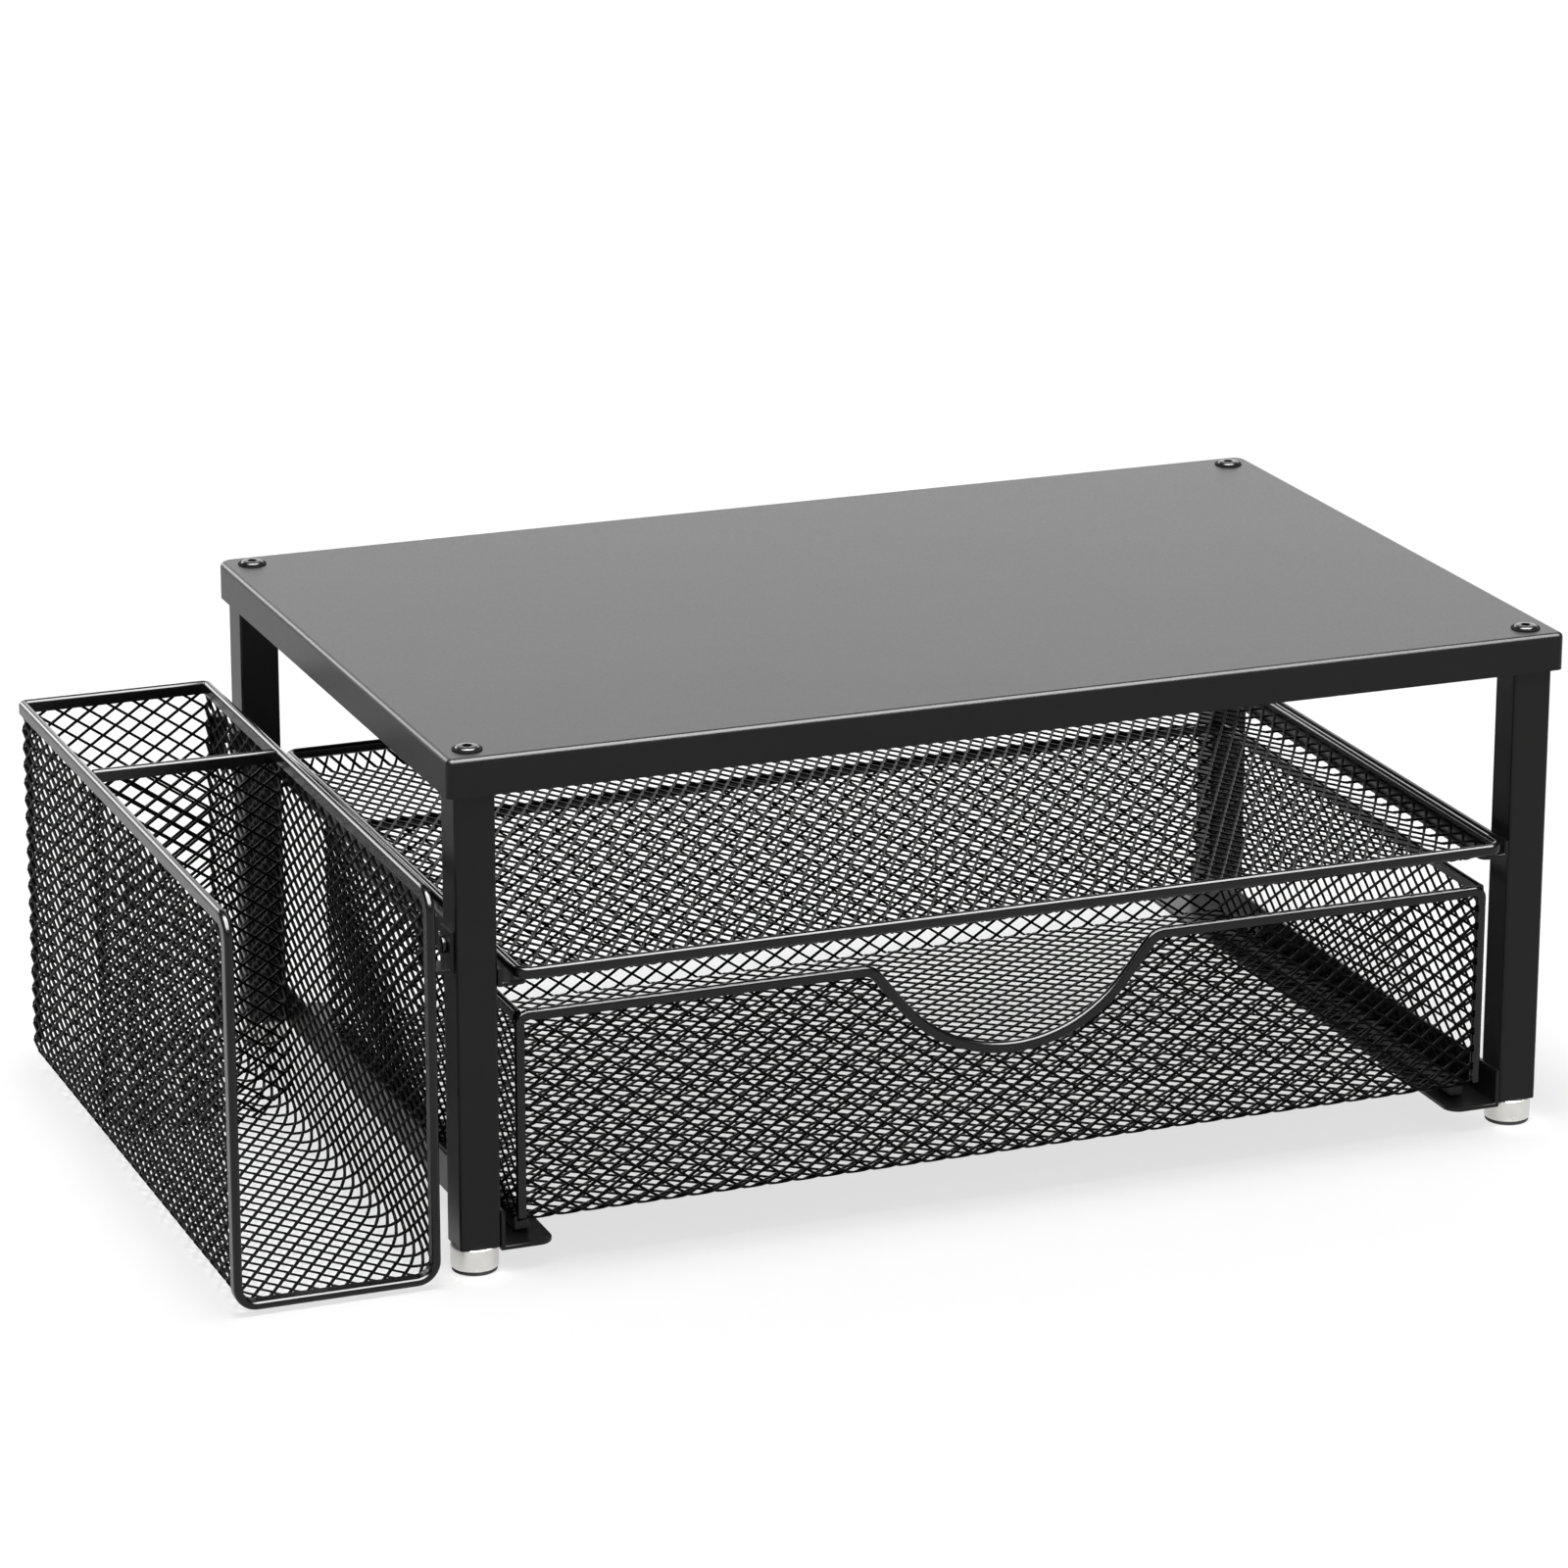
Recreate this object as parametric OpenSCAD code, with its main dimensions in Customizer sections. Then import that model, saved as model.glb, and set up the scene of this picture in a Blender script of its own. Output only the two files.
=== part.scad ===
// Monitor riser stand: a folded steel platform on four square tube legs, with a slide-out
// mesh tray, a mesh drawer with a finger dip, and a mesh organizer hooked on at the left.
// X runs to the right, Y to the back and Z up, in millimetres. The feet stand on z = 0.

/* [Platform] */
// Width of the platform
platform_w = 400; // [340:10:480]
// Depth of the platform
platform_d = 255; // [235:5:300]
// Height of the platform's top face above the desk
riser_h = 178; // [165:1:220]
// Sheet thickness of the platform
platform_t = 1.2; // [0.8:0.1:2]
// Height of the platform's folded skirts
skirt_h = 13; // [8:1:20]
// Plan radius of the two front corners
front_corner_r = 2.5; // [2.5:0.5:8]
// Plan radius of the two rear corners
rear_corner_r = 5; // [2.5:0.5:8]

/* [Legs] */
// Outside width of the square leg tube
leg_size = 14; // [12:1:20]
// Wall thickness of the leg tube
leg_wall = 1.2; // [0.8:0.1:2]
// Outside corner radius of the leg tube
leg_corner_r = 1.2; // [0.5:0.1:2]
// Distance from the platform's edge to the legs' outer faces
leg_inset = 3; // [2.5:0.5:8]
// Height of the threaded insert in the top of each leg
insert_h = 12; // [8:1:20]

/* [Screws] */
// Diameter of the platform screws
screw_d = 5; // [4:0.5:6]
// Depth to which the platform screws reach below the platform's top
screw_reach = 11; // [6:0.5:12]
// Head diameter of the platform screws
screw_head_d = 10; // [8:0.5:12]
// Height of the domed screw heads
screw_head_h = 2; // [1.5:0.1:2.6]
// Diameter of the hexagon socket across its corners
socket_d = 3.6; // [2.5:0.1:4.5]
// Depth of the hexagon socket
socket_depth = 1.3; // [0.8:0.1:1.8]

/* [Feet] */
// Height of the legs' lower ends above the desk
foot_h = 9; // [6:0.5:14]
// Diameter of the foot collars
foot_d = 16; // [12:0.5:20]
// Thickness of the rubber pads under the feet
pad_t = 1.3; // [0.8:0.1:2.5]
// How far the pads stay inside the collars' edges
pad_inset = 0.4; // [0.2:0.1:1.5]
// Diameter of the threaded foot studs
stud_d = 6; // [5:0.5:8]
// Length of stud inside the leg
stud_reach = 9; // [6:0.5:12]
// Depth of the stud's blind hole in the collar
stud_seat = 5; // [2:0.5:6]
// Height of the plastic plug in the foot of each leg
plug_h = 12; // [10:1:20]

/* [Rails] */
// Sheet thickness of the rail angles
rail_t = 1.5; // [1:0.1:2]
// Height of the upper rails' webs
upper_web_h = 4.5; // [3:0.1:5]
// Corner radius at the upper flanges' ends
upper_rail_r = 3; // [1:0.5:5]
// How far the upper flanges pass the inner face of the tray's rim
rail_hold = 3; // [2:0.1:4]
// Height of the lower rails' webs
lower_web_h = 12; // [6:1:20]
// Reach of the lower flanges from the legs' inner faces
lower_rail_reach = 19; // [16:0.5:24]
// Corner radius at the lower flanges' ends
lower_rail_r = 5.5; // [2:0.5:8]

/* [Tray] */
// Height of the tray rim's top above the desk
tray_top_z = 106.3; // [104:0.1:112]
// Gap from the legs' inner faces to the tray's rim
tray_side_gap = 4.6; // [3:0.1:6]
// How far the tray stands in front of the platform
tray_front_out = 3.4; // [1:0.1:8]
// Distance from the platform's rear to the tray's rear
tray_rear_inset = 3; // [1:0.5:10]
// Height of the tray's rim
tray_rim_h = 4.1; // [3:0.1:5]
// Thickness of the tray's rim
tray_rim_t = 2.8; // [2:0.1:3.5]
// Plan corner radius of the tray's rim
tray_corner_r = 5; // [4:0.5:10]
// Drop from the tray's rim to its floor
tray_drop = 3.7; // [3:0.1:6]
// Drop from the tray's rim to the upper rails
tray_rail_drop = 2; // [1.5:0.1:2.5]

/* [Drawer] */
// Height of the drawer rim's top above the desk
drawer_top_z = 88.7; // [84:0.1:92]
// Gap from the legs' inner faces to the drawer
drawer_side_gap = 6.5; // [5:0.1:9]
// Distance from the platform's front to the drawer's front
drawer_front_y = 5; // [4:0.5:10]
// Depth of the drawer
drawer_d = 209; // [180:1:225]
// Height of the drawer's rim
drawer_rim_h = 3.6; // [3:0.1:4.5]
// Width of the drawer front's upright rims
drawer_post_w = 3; // [2.4:0.1:4]
// Thickness of the drawer's rim
drawer_rim_t = 2.8; // [2:0.1:3.5]
// Radius of the drawer front's upper corners
drawer_corner_r = 4.5; // [4.2:0.1:8]
// Outside radius of the fold between the drawer's front and floor
drawer_fold_r = 5; // [2:0.5:8]
// Height at which the upright rims end above the drawer's floor
drawer_post_lift = 2.8; // [1:0.1:6]
// Height of the runner strips under the drawer
runner_h = 4.9; // [3:0.1:8]
// Width of the runner strips
runner_w = 5; // [3:0.5:7]
// Distance from the drawer's ends to its runner strips
runner_inset = 9; // [6:0.5:20]

/* [Finger dip] */
// Depth of the finger dip in the drawer's front
dip_depth = 33.5; // [24:0.5:44]
// Radius of the dip's broad bottom arc
dip_bottom_r = 50; // [30:1:60]
// Slope of the dip's sides in degrees
dip_slope = 51.5; // [40:0.5:60]
// Radius of the dip's shoulders
dip_shoulder_r = 8; // [6:0.5:12]

/* [Organizer] */
// Outside width of the organizer
organizer_w = 70; // [55:1:90]
// Height of the organizer's underside above the desk
organizer_bottom_z = 1.5; // [1:0.5:20]
// Height of the organizer's top above the desk
organizer_top_z = 136; // [125:1:145]
// Gap from the organizer to the legs' outer faces
organizer_gap = 8.5; // [8.5:0.1:12]
// How far the organizer stands in front of the platform
organizer_front_out = 3; // [1:0.1:6]
// Distance from the platform's rear to the organizer's rear
organizer_rear_inset = 5; // [4:0.5:6]
// Distance from the platform's front to the organizer's divider
divider_y = 160; // [120:1:190]
// Width of the organizer's trim along the mesh
trim_w = 4.4; // [3.5:0.1:5]
// Thickness of the organizer's trim
trim_t = 3; // [2:0.1:3.5]
// Radius of the trim's front upper bends
trim_top_r = 9; // [6:0.5:14]
// Radius of the organizer's lower folds
trim_bottom_r = 8; // [6:0.5:12]
// Straight rise of the sheet and trim above the lower folds
fold_rise = 2; // [1:0.5:10]
// Plan radius of the rear trim's corners
trim_rear_r = 2.8; // [1:0.1:2.8]

/* [Hangers] */
// Width of the hanger brackets along the leg
bracket_w = 10; // [8:0.5:12]
// Height of the hanger brackets
bracket_h = 14; // [12:0.5:20]
// Sheet thickness of the brackets and hooks
hanger_t = 1.5; // [1:0.1:1.6]
// Height by which the brackets' lips pass their bases
lip_rise = 3.5; // [2:0.5:6]
// Distance from the organizer's top to its hooks
hook_drop = 12; // [8:0.5:20]
// Height of the hooks' back plates
hook_plate_h = 18; // [12:0.5:24]
// Height of the hooks' turned-down lips
hook_lip_h = 10; // [6:0.5:12]
// Width of the hooks
hook_w = 6; // [4:0.5:6]
// Diameter of the hanger screws
hanger_screw_d = 3; // [2:0.5:4]
// Head diameter of the hanger screws
hanger_head_d = 6; // [4.5:0.5:7]
// Head height of the hanger screws
hanger_head_h = 1.6; // [1:0.1:1.8]
// Length of the hanger screws
hanger_screw_len = 6; // [4:0.5:8]

/* [Mesh] */
// Thickness of the expanded mesh sheets
mesh_t = 0.8; // [0.5:0.1:1.2]
// Gap between pieces that slide past each other
slide_gap = 0.3; // [0.2:0.05:0.6]

/* [Hidden] */
$fn = 64;

coat = "#262624";
mesh_coat = "#171716";
silver = "#c9c7c2";
steel = "#a8a8a6";
rubber = "#101010";
plastic = "#1d1d1d";

// Cutters pass the faces that they cut by this much
past = 1;
// Clearance of a screw in a hole that it only passes through
hole_gap = 0.4;

// Legs
bore = leg_size - 2 * leg_wall;
leg_top = riser_h - platform_t;
leg_inner = leg_inset + leg_size;
leg_centre = leg_inset + leg_size / 2;
leg_xs = [leg_centre, platform_w - leg_centre];
leg_ys = [leg_centre, platform_d - leg_centre];

// Tray
tray_left = leg_inner + tray_side_gap;
tray_w = platform_w - 2 * tray_left;
tray_d = platform_d + tray_front_out - tray_rear_inset;
tray_rim_z = tray_top_z - tray_rim_h;
tray_floor_z = tray_rim_z - tray_drop;
upper_rail_top = tray_rim_z - tray_rail_drop;
upper_rail_reach = tray_side_gap + tray_rim_t + rail_hold;
tray_run = tray_drop * rail_hold / (tray_rail_drop - slide_gap);
tray_lip_h = tray_rim_h / 2;

// Drawer
drawer_left = leg_inner + drawer_side_gap;
drawer_w = platform_w - 2 * drawer_left;
drawer_rear_y = drawer_front_y + drawer_d;
drawer_floor_z = foot_h + slide_gap + runner_h;
drawer_post_z = drawer_floor_z + drawer_post_lift;
drawer_rim_z = drawer_top_z - drawer_rim_h;
drawer_edge = (drawer_rim_t - mesh_t) / 2;
drawer_sheet_x = drawer_left + drawer_edge;
drawer_sheet_w = drawer_w - 2 * drawer_edge;
drawer_sheet_y = drawer_front_y + drawer_edge;
drawer_sheet_d = drawer_d - 2 * drawer_edge;
drawer_sheet_top = drawer_top_z - drawer_edge;
drawer_face_h = drawer_top_z - drawer_post_z;

// Finger dip: centres of its arcs, measured from the middle of the drawer rim's top edge
dip_arc_z = dip_bottom_r - dip_depth;
dip_side_drop = dip_depth - (dip_bottom_r + dip_shoulder_r) * (1 - cos(dip_slope));
dip_half_w = (dip_bottom_r + dip_shoulder_r) * sin(dip_slope) + dip_side_drop / tan(dip_slope);

// Organizer
organizer_right = leg_inset - organizer_gap;
organizer_left = organizer_right - organizer_w;
organizer_front = -organizer_front_out;
organizer_rear = platform_d - organizer_rear_inset;
organizer_d = organizer_rear - organizer_front;
organizer_h = organizer_top_z - organizer_bottom_z;
trim_edge = (trim_t - mesh_t) / 2;
side_sheet_d = organizer_d - 2 * trim_edge - mesh_t;
side_sheet_front = organizer_front + trim_edge;
side_sheet_rear = side_sheet_front + side_sheet_d;
sheet_fold_r = trim_bottom_r - trim_edge;
fold_z = organizer_bottom_z + trim_bottom_r + fold_rise;
organizer_sheet_top = organizer_top_z - trim_edge;
organizer_sheet_w = organizer_w - 2 * trim_edge;
organizer_mid_x = organizer_right - organizer_w / 2;

// Hangers, from the organizer's right wall to the leg
hook_plate_x = organizer_right - trim_edge;
hook_top_z = organizer_top_z - hook_drop;
bracket_lip_x = hook_plate_x + hanger_t + slide_gap;
hook_lip_x = bracket_lip_x + hanger_t + slide_gap;
bracket_top_z = hook_top_z - hanger_t - slide_gap - lip_rise;
bracket_z = bracket_top_z - bracket_h;
bracket_x = leg_inset - hanger_t;
hanger_screw_z = bracket_z + bracket_h * 0.62;

// The shared frame's origin is under the middle of the whole object's box
centre_x = (organizer_left + platform_w) / 2;
centre_y = (platform_d - max(tray_front_out, organizer_front_out)) / 2;

// ---- Shared shapes ----

// Moves a piece from the platform's front left corner to the shared frame
module in_place() {
    translate([-centre_x, -centre_y, 0]) children();
}

// Copy on the right side of the platform
module on_right() {
    translate([platform_w, 0, 0]) mirror([1, 0, 0]) children();
}

// One copy on each leg's axis
module at_legs() {
    for (x = leg_xs, y = leg_ys) translate([x, y, 0]) children();
}

// Rectangle with its own radius at each corner: lower left, lower right, upper right, upper left
module plate(w, h, radii) {
    corners = [[0, 0], [w, 0], [w, h], [0, h]];
    inward = [[1, 1], [-1, 1], [-1, -1], [1, -1]];
    polygon([for (i = [0:3])
        let (
            c = corners[i],
            across = c + [inward[i].x * radii[i], 0],
            along = c + [0, inward[i].y * radii[i]]
        )
        each radii[i] == 0 ? [c] : i % 2 == 0 ? [along, across] : [across, along]
    ]);
    for (i = [0:3])
        if (radii[i] > 0) translate(corners[i] + inward[i] * radii[i]) intersection() {
            circle(radii[i]);
            rotate(90 * i) translate([-radii[i], -radii[i]]) square(radii[i]);
        }
}

// Outline drawn in the YZ plane and extruded towards +X
module along_x(length) {
    rotate([90, 0, 90]) linear_extrude(length) children();
}

// Outline drawn in the XZ plane and extruded towards +Y
module along_y(length) {
    translate([0, length, 0]) rotate([90, 0, 0]) linear_extrude(length) children();
}

// Domed cap of radius r and height h, standing on z = 0
module dome(r, h) {
    ball_r = (r * r + h * h) / (2 * h);
    intersection() {
        translate([0, 0, h - ball_r]) sphere(ball_r);
        cylinder(r = r, h = h + past);
    }
}

// ---- Platform ----

module platform_outline(inset) {
    front_r = front_corner_r - inset;
    rear_r = rear_corner_r - inset;
    translate([inset, inset])
        plate(platform_w - 2 * inset, platform_d - 2 * inset, [front_r, front_r, rear_r, rear_r]);
}

module top_panel() {
    color(coat) in_place() difference() {
        translate([0, 0, riser_h - skirt_h]) linear_extrude(skirt_h) platform_outline(0);
        translate([0, 0, riser_h - skirt_h - past])
            linear_extrude(skirt_h - platform_t + past) platform_outline(platform_t);
        at_legs() translate([0, 0, leg_top - past])
            cylinder(d = screw_d + 2 * hole_gap, h = platform_t + 2 * past);
    }
}

// ---- Legs and feet ----

module square_plug(height) {
    translate([-bore / 2, -bore / 2, 0]) cube([bore, bore, height]);
}

module leg_tube() {
    translate([0, 0, foot_h]) linear_extrude(leg_top - foot_h) difference() {
        translate([-leg_size / 2, -leg_size / 2])
            plate(leg_size, leg_size, [leg_corner_r, leg_corner_r, leg_corner_r, leg_corner_r]);
        translate([-bore / 2, -bore / 2]) square(bore);
    }
}

// Hole for the hanger screw through the outer wall of a left leg
module hanger_hole() {
    translate([-leg_size / 2 - past, 0, hanger_screw_z]) rotate([0, 90, 0])
        cylinder(d = hanger_screw_d, h = leg_wall + 2 * past);
}

module left_leg(y) {
    color(coat) in_place() translate([leg_xs[0], y, 0]) difference() {
        leg_tube();
        hanger_hole();
    }
}

module right_leg(y) {
    color(coat) in_place() translate([leg_xs[1], y, 0]) leg_tube();
}

module leg_front_left() { left_leg(leg_ys[0]); }
module leg_front_right() { right_leg(leg_ys[0]); }
module leg_rear_left() { left_leg(leg_ys[1]); }
module leg_rear_right() { right_leg(leg_ys[1]); }

module leg_inserts() {
    color(steel) in_place() at_legs() difference() {
        translate([0, 0, leg_top - insert_h]) square_plug(insert_h);
        translate([0, 0, leg_top - insert_h - past]) cylinder(d = screw_d, h = insert_h + 2 * past);
    }
}

module panel_screws() {
    color(steel) in_place() at_legs() difference() {
        union() {
            translate([0, 0, riser_h]) dome(screw_head_d / 2, screw_head_h);
            translate([0, 0, riser_h - screw_reach]) cylinder(d = screw_d, h = screw_reach);
        }
        translate([0, 0, riser_h + screw_head_h - socket_depth])
            cylinder(d = socket_d, h = socket_depth + past, $fn = 6);
    }
}

module foot_plugs() {
    color(plastic) in_place() at_legs() translate([0, 0, foot_h]) difference() {
        square_plug(plug_h);
        translate([0, 0, -past]) cylinder(d = stud_d, h = plug_h + 2 * past);
    }
}

module foot_studs() {
    color(steel) in_place() at_legs() translate([0, 0, foot_h - stud_seat])
        cylinder(d = stud_d, h = stud_seat + stud_reach);
}

module foot_collars() {
    color(silver) in_place() at_legs() difference() {
        translate([0, 0, pad_t]) cylinder(d = foot_d, h = foot_h - pad_t);
        translate([0, 0, foot_h - stud_seat]) cylinder(d = stud_d, h = stud_seat + past);
    }
}

module foot_pads() {
    color(rubber) in_place() at_legs() cylinder(d = foot_d - 2 * pad_inset, h = pad_t);
}

// ---- Rails ----

// Angle along the left legs' inner faces: its flange's top is at flange_top, its web above
module rail(flange_top, reach, web_h, corner_r) {
    length = platform_d - 2 * leg_inset;
    translate([leg_inner, leg_inset, flange_top - rail_t]) {
        linear_extrude(rail_t) plate(reach, length, [0, corner_r, corner_r, 0]);
        cube([rail_t, length, web_h + rail_t]);
    }
}

module upper_rail() {
    color(coat) rail(upper_rail_top, upper_rail_reach, upper_web_h, upper_rail_r);
}

// The lower flange is level with the legs' lower ends, and is cut out round the foot collars
module lower_rail() {
    color(coat) difference() {
        rail(foot_h, lower_rail_reach, lower_web_h, lower_rail_r);
        at_legs() translate([0, 0, -past]) cylinder(d = foot_d + 2 * hole_gap, h = foot_h + past);
    }
}

module upper_rail_left() { in_place() upper_rail(); }
module upper_rail_right() { in_place() on_right() upper_rail(); }
module lower_rail_left() { in_place() lower_rail(); }
module lower_rail_right() { in_place() on_right() lower_rail(); }

// ---- Hangers ----

// Bracket seen from the front: a base on the leg, an arm and a lip that points up
module hanger_bracket(y) {
    arm = bracket_x - bracket_lip_x;
    color(coat) in_place() translate([0, y - bracket_w / 2, 0]) difference() {
        along_y(bracket_w) {
            translate([bracket_x, bracket_z]) square([hanger_t, bracket_h]);
            translate([bracket_lip_x, bracket_z]) square([arm + hanger_t, hanger_t]);
            translate([bracket_lip_x, bracket_z]) square([hanger_t, bracket_h + lip_rise]);
        }
        translate([bracket_x - past, bracket_w / 2, hanger_screw_z]) rotate([0, 90, 0])
            cylinder(d = hanger_screw_d, h = hanger_t + 2 * past);
    }
}

module hanger_bracket_front() { hanger_bracket(leg_ys[0]); }
module hanger_bracket_rear() { hanger_bracket(leg_ys[1]); }

module hanger_screws() {
    color(steel) in_place() for (y = leg_ys)
        translate([bracket_x, y, hanger_screw_z]) rotate([0, 90, 0]) {
            cylinder(d = hanger_screw_d, h = hanger_screw_len);
            translate([0, 0, -hanger_head_h]) cylinder(d = hanger_head_d, h = hanger_head_h);
        }
}

// ---- Tray ----

module tray_outline(inset) {
    r = tray_corner_r - inset;
    translate([tray_left + inset, inset - tray_front_out])
        plate(tray_w - 2 * inset, tray_d - 2 * inset, [r, r, r, r]);
}

// Band of the tray's rim between two distances from the platform's front
module tray_rim(from_y, to_y) {
    color(coat) in_place() translate([0, 0, tray_rim_z]) linear_extrude(tray_rim_h)
        intersection() {
            difference() {
                tray_outline(0);
                tray_outline(tray_rim_t);
            }
            translate([tray_left - past, from_y]) square([tray_w + 2 * past, to_y - from_y]);
        }
}

// Straight side of the tray's rim, between the corners of its front and back
module tray_side_rim() {
    color(coat) translate([tray_left, tray_corner_r - tray_front_out, tray_rim_z])
        cube([tray_rim_t, tray_d - 2 * tray_corner_r, tray_rim_h]);
}

module tray_rim_front() { tray_rim(-tray_front_out - past, tray_corner_r - tray_front_out); }
module tray_rim_back() {
    tray_rim(tray_d - tray_front_out - tray_corner_r, tray_d - tray_front_out + past);
}
module tray_rim_left() { in_place() tray_side_rim(); }
module tray_rim_right() { in_place() on_right() tray_side_rim(); }

// One side of the pan: its floor, its sloping edges and its lips
module pan_profile(w, lip) {
    polygon([
        [tray_run, 0], [w - tray_run, 0], [w, tray_drop],
        [w, tray_drop + lip], [0, tray_drop + lip], [0, tray_drop],
    ]);
}

module pan_solid(w, d, lip) {
    intersection() {
        along_y(d) pan_profile(w, lip);
        along_x(w) pan_profile(d, lip);
    }
}

module tray_mesh() {
    w = tray_w - 2 * tray_rim_t;
    d = tray_d - 2 * tray_rim_t;
    color(mesh_coat) in_place() intersection() {
        translate([tray_left + tray_rim_t, tray_rim_t - tray_front_out, tray_floor_z])
            difference() {
                pan_solid(w, d, tray_lip_h);
                translate([mesh_t, mesh_t, mesh_t])
                    pan_solid(w - 2 * mesh_t, d - 2 * mesh_t, tray_lip_h + past);
            }
        translate([0, 0, tray_floor_z - past]) linear_extrude(tray_top_z - tray_floor_z)
            tray_outline(tray_rim_t);
    }
}

// ---- Drawer ----

// Points along an arc, from one angle to another
function arc(centre, r, from, to, steps) = [
    for (i = [0:steps])
        let (angle = from + (to - from) * i / steps)
        centre + r * [cos(angle), sin(angle)]
];

// Finger dip, grown by a distance, drawn from the middle of the rim's top edge
module dip(grow) {
    shoulder_r = dip_shoulder_r - grow;
    left = [-dip_half_w, -dip_shoulder_r];
    right = [dip_half_w, -dip_shoulder_r];
    polygon(concat(
        [[-dip_half_w, past]],
        arc(left, shoulder_r, 90, 90 - dip_slope, 6),
        arc([0, dip_arc_z], dip_bottom_r + grow, 270 - dip_slope, 270 + dip_slope, 24),
        arc(right, shoulder_r, 90 + dip_slope, 90, 6),
        [[dip_half_w, past]]
    ));
}

// Drawer front above the height z, drawn inset from its outer edges
module drawer_face(side_inset, top_inset, z) {
    w = drawer_w - 2 * side_inset;
    r = drawer_corner_r - top_inset;
    difference() {
        translate([drawer_left + side_inset, z]) plate(w, drawer_top_z - top_inset - z, [0, 0, r, r]);
        translate([platform_w / 2, drawer_top_z]) dip(top_inset);
    }
}

// Upright sheet of the drawer's front, with the fold that leads into the floor
module front_sheet() {
    inner_r = drawer_fold_r - mesh_t;
    fold_top = drawer_floor_z + drawer_fold_r;
    translate([0, drawer_sheet_y, 0]) along_y(mesh_t) intersection() {
        drawer_face(drawer_edge, drawer_edge, fold_top);
        translate([drawer_sheet_x + mesh_t, 0]) square([drawer_sheet_w - 2 * mesh_t, drawer_top_z]);
    }
    translate([drawer_sheet_x + mesh_t, drawer_sheet_y + drawer_fold_r, fold_top])
        along_x(drawer_sheet_w - 2 * mesh_t) intersection() {
            difference() {
                circle(drawer_fold_r);
                circle(inner_r);
            }
            translate([-drawer_fold_r, -drawer_fold_r]) square(drawer_fold_r);
        }
}

module side_sheet() {
    translate([drawer_sheet_x, drawer_sheet_y, drawer_floor_z]) along_x(mesh_t)
        plate(drawer_sheet_d, drawer_sheet_top - drawer_floor_z, [drawer_fold_r, 0, 0, 0]);
}

module back_sheet() {
    translate([drawer_sheet_x + mesh_t, drawer_sheet_y + drawer_sheet_d - mesh_t, drawer_floor_z])
        cube([drawer_sheet_w - 2 * mesh_t, mesh_t, drawer_sheet_top - drawer_floor_z]);
}

module drawer_front_mesh() { color(mesh_coat) in_place() front_sheet(); }
module drawer_left_mesh() { color(mesh_coat) in_place() side_sheet(); }
module drawer_right_mesh() { color(mesh_coat) in_place() on_right() side_sheet(); }
module drawer_back_mesh() { color(mesh_coat) in_place() back_sheet(); }

module drawer_floor_mesh() {
    color(mesh_coat) in_place()
        translate([drawer_sheet_x + mesh_t, drawer_sheet_y + drawer_fold_r, drawer_floor_z])
            cube([drawer_sheet_w - 2 * mesh_t, drawer_sheet_d - drawer_fold_r - mesh_t, mesh_t]);
}

// Channel round the drawer's front, along its dipped top and down both sides
module drawer_front_rim() {
    color(coat) in_place() difference() {
        translate([0, drawer_front_y, 0]) along_y(drawer_rim_t) difference() {
            drawer_face(0, 0, drawer_post_z);
            drawer_face(drawer_post_w, drawer_rim_h, drawer_post_z - past);
        }
        front_sheet();
        side_sheet();
        on_right() side_sheet();
    }
}

module side_rim() {
    difference() {
        translate([drawer_left, drawer_front_y + drawer_rim_t, drawer_rim_z])
            cube([drawer_rim_t, drawer_d - 2 * drawer_rim_t, drawer_rim_h]);
        side_sheet();
    }
}

module drawer_left_rim() { color(coat) in_place() side_rim(); }
module drawer_right_rim() { color(coat) in_place() on_right() side_rim(); }

module drawer_back_rim() {
    color(coat) in_place() difference() {
        translate([drawer_left, drawer_rear_y - drawer_rim_t, drawer_rim_z])
            cube([drawer_w, drawer_rim_t, drawer_rim_h]);
        back_sheet();
        side_sheet();
        on_right() side_sheet();
    }
}

// Strip that carries the drawer on the lower rail's flange
module runner() {
    color(plastic)
        translate([drawer_sheet_x + mesh_t, drawer_front_y + runner_inset, drawer_floor_z - runner_h])
            cube([runner_w, drawer_d - 2 * runner_inset, runner_h]);
}

module drawer_left_runner() { in_place() runner(); }
module drawer_right_runner() { in_place() on_right() runner(); }

// ---- Organizer ----

// Copy on the organizer's other side
module across_organizer() {
    translate([2 * organizer_mid_x, 0, 0]) mirror([1, 0, 0]) children();
}

module organizer_side_sheet() {
    translate([organizer_left + trim_edge, side_sheet_front, fold_z]) along_x(mesh_t)
        plate(side_sheet_d, organizer_sheet_top - fold_z, [0, 0, 0, trim_top_r - trim_edge]);
}

// Floor with the two folds that lead up into the sides
module organizer_floor_sheet() {
    h = sheet_fold_r + fold_rise;
    inner_r = sheet_fold_r - mesh_t;
    translate([organizer_left + trim_edge, side_sheet_front, fold_z - h]) along_y(side_sheet_d)
        difference() {
            plate(organizer_sheet_w, h, [sheet_fold_r, sheet_fold_r, 0, 0]);
            translate([mesh_t, mesh_t])
                plate(organizer_sheet_w - 2 * mesh_t, h, [inner_r, inner_r, 0, 0]);
        }
}

module organizer_back_sheet() {
    bottom = organizer_bottom_z + trim_edge;
    translate([organizer_left + trim_edge, side_sheet_rear, bottom]) along_y(mesh_t)
        plate(organizer_sheet_w, organizer_sheet_top - bottom, [sheet_fold_r, sheet_fold_r, 0, 0]);
}

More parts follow.
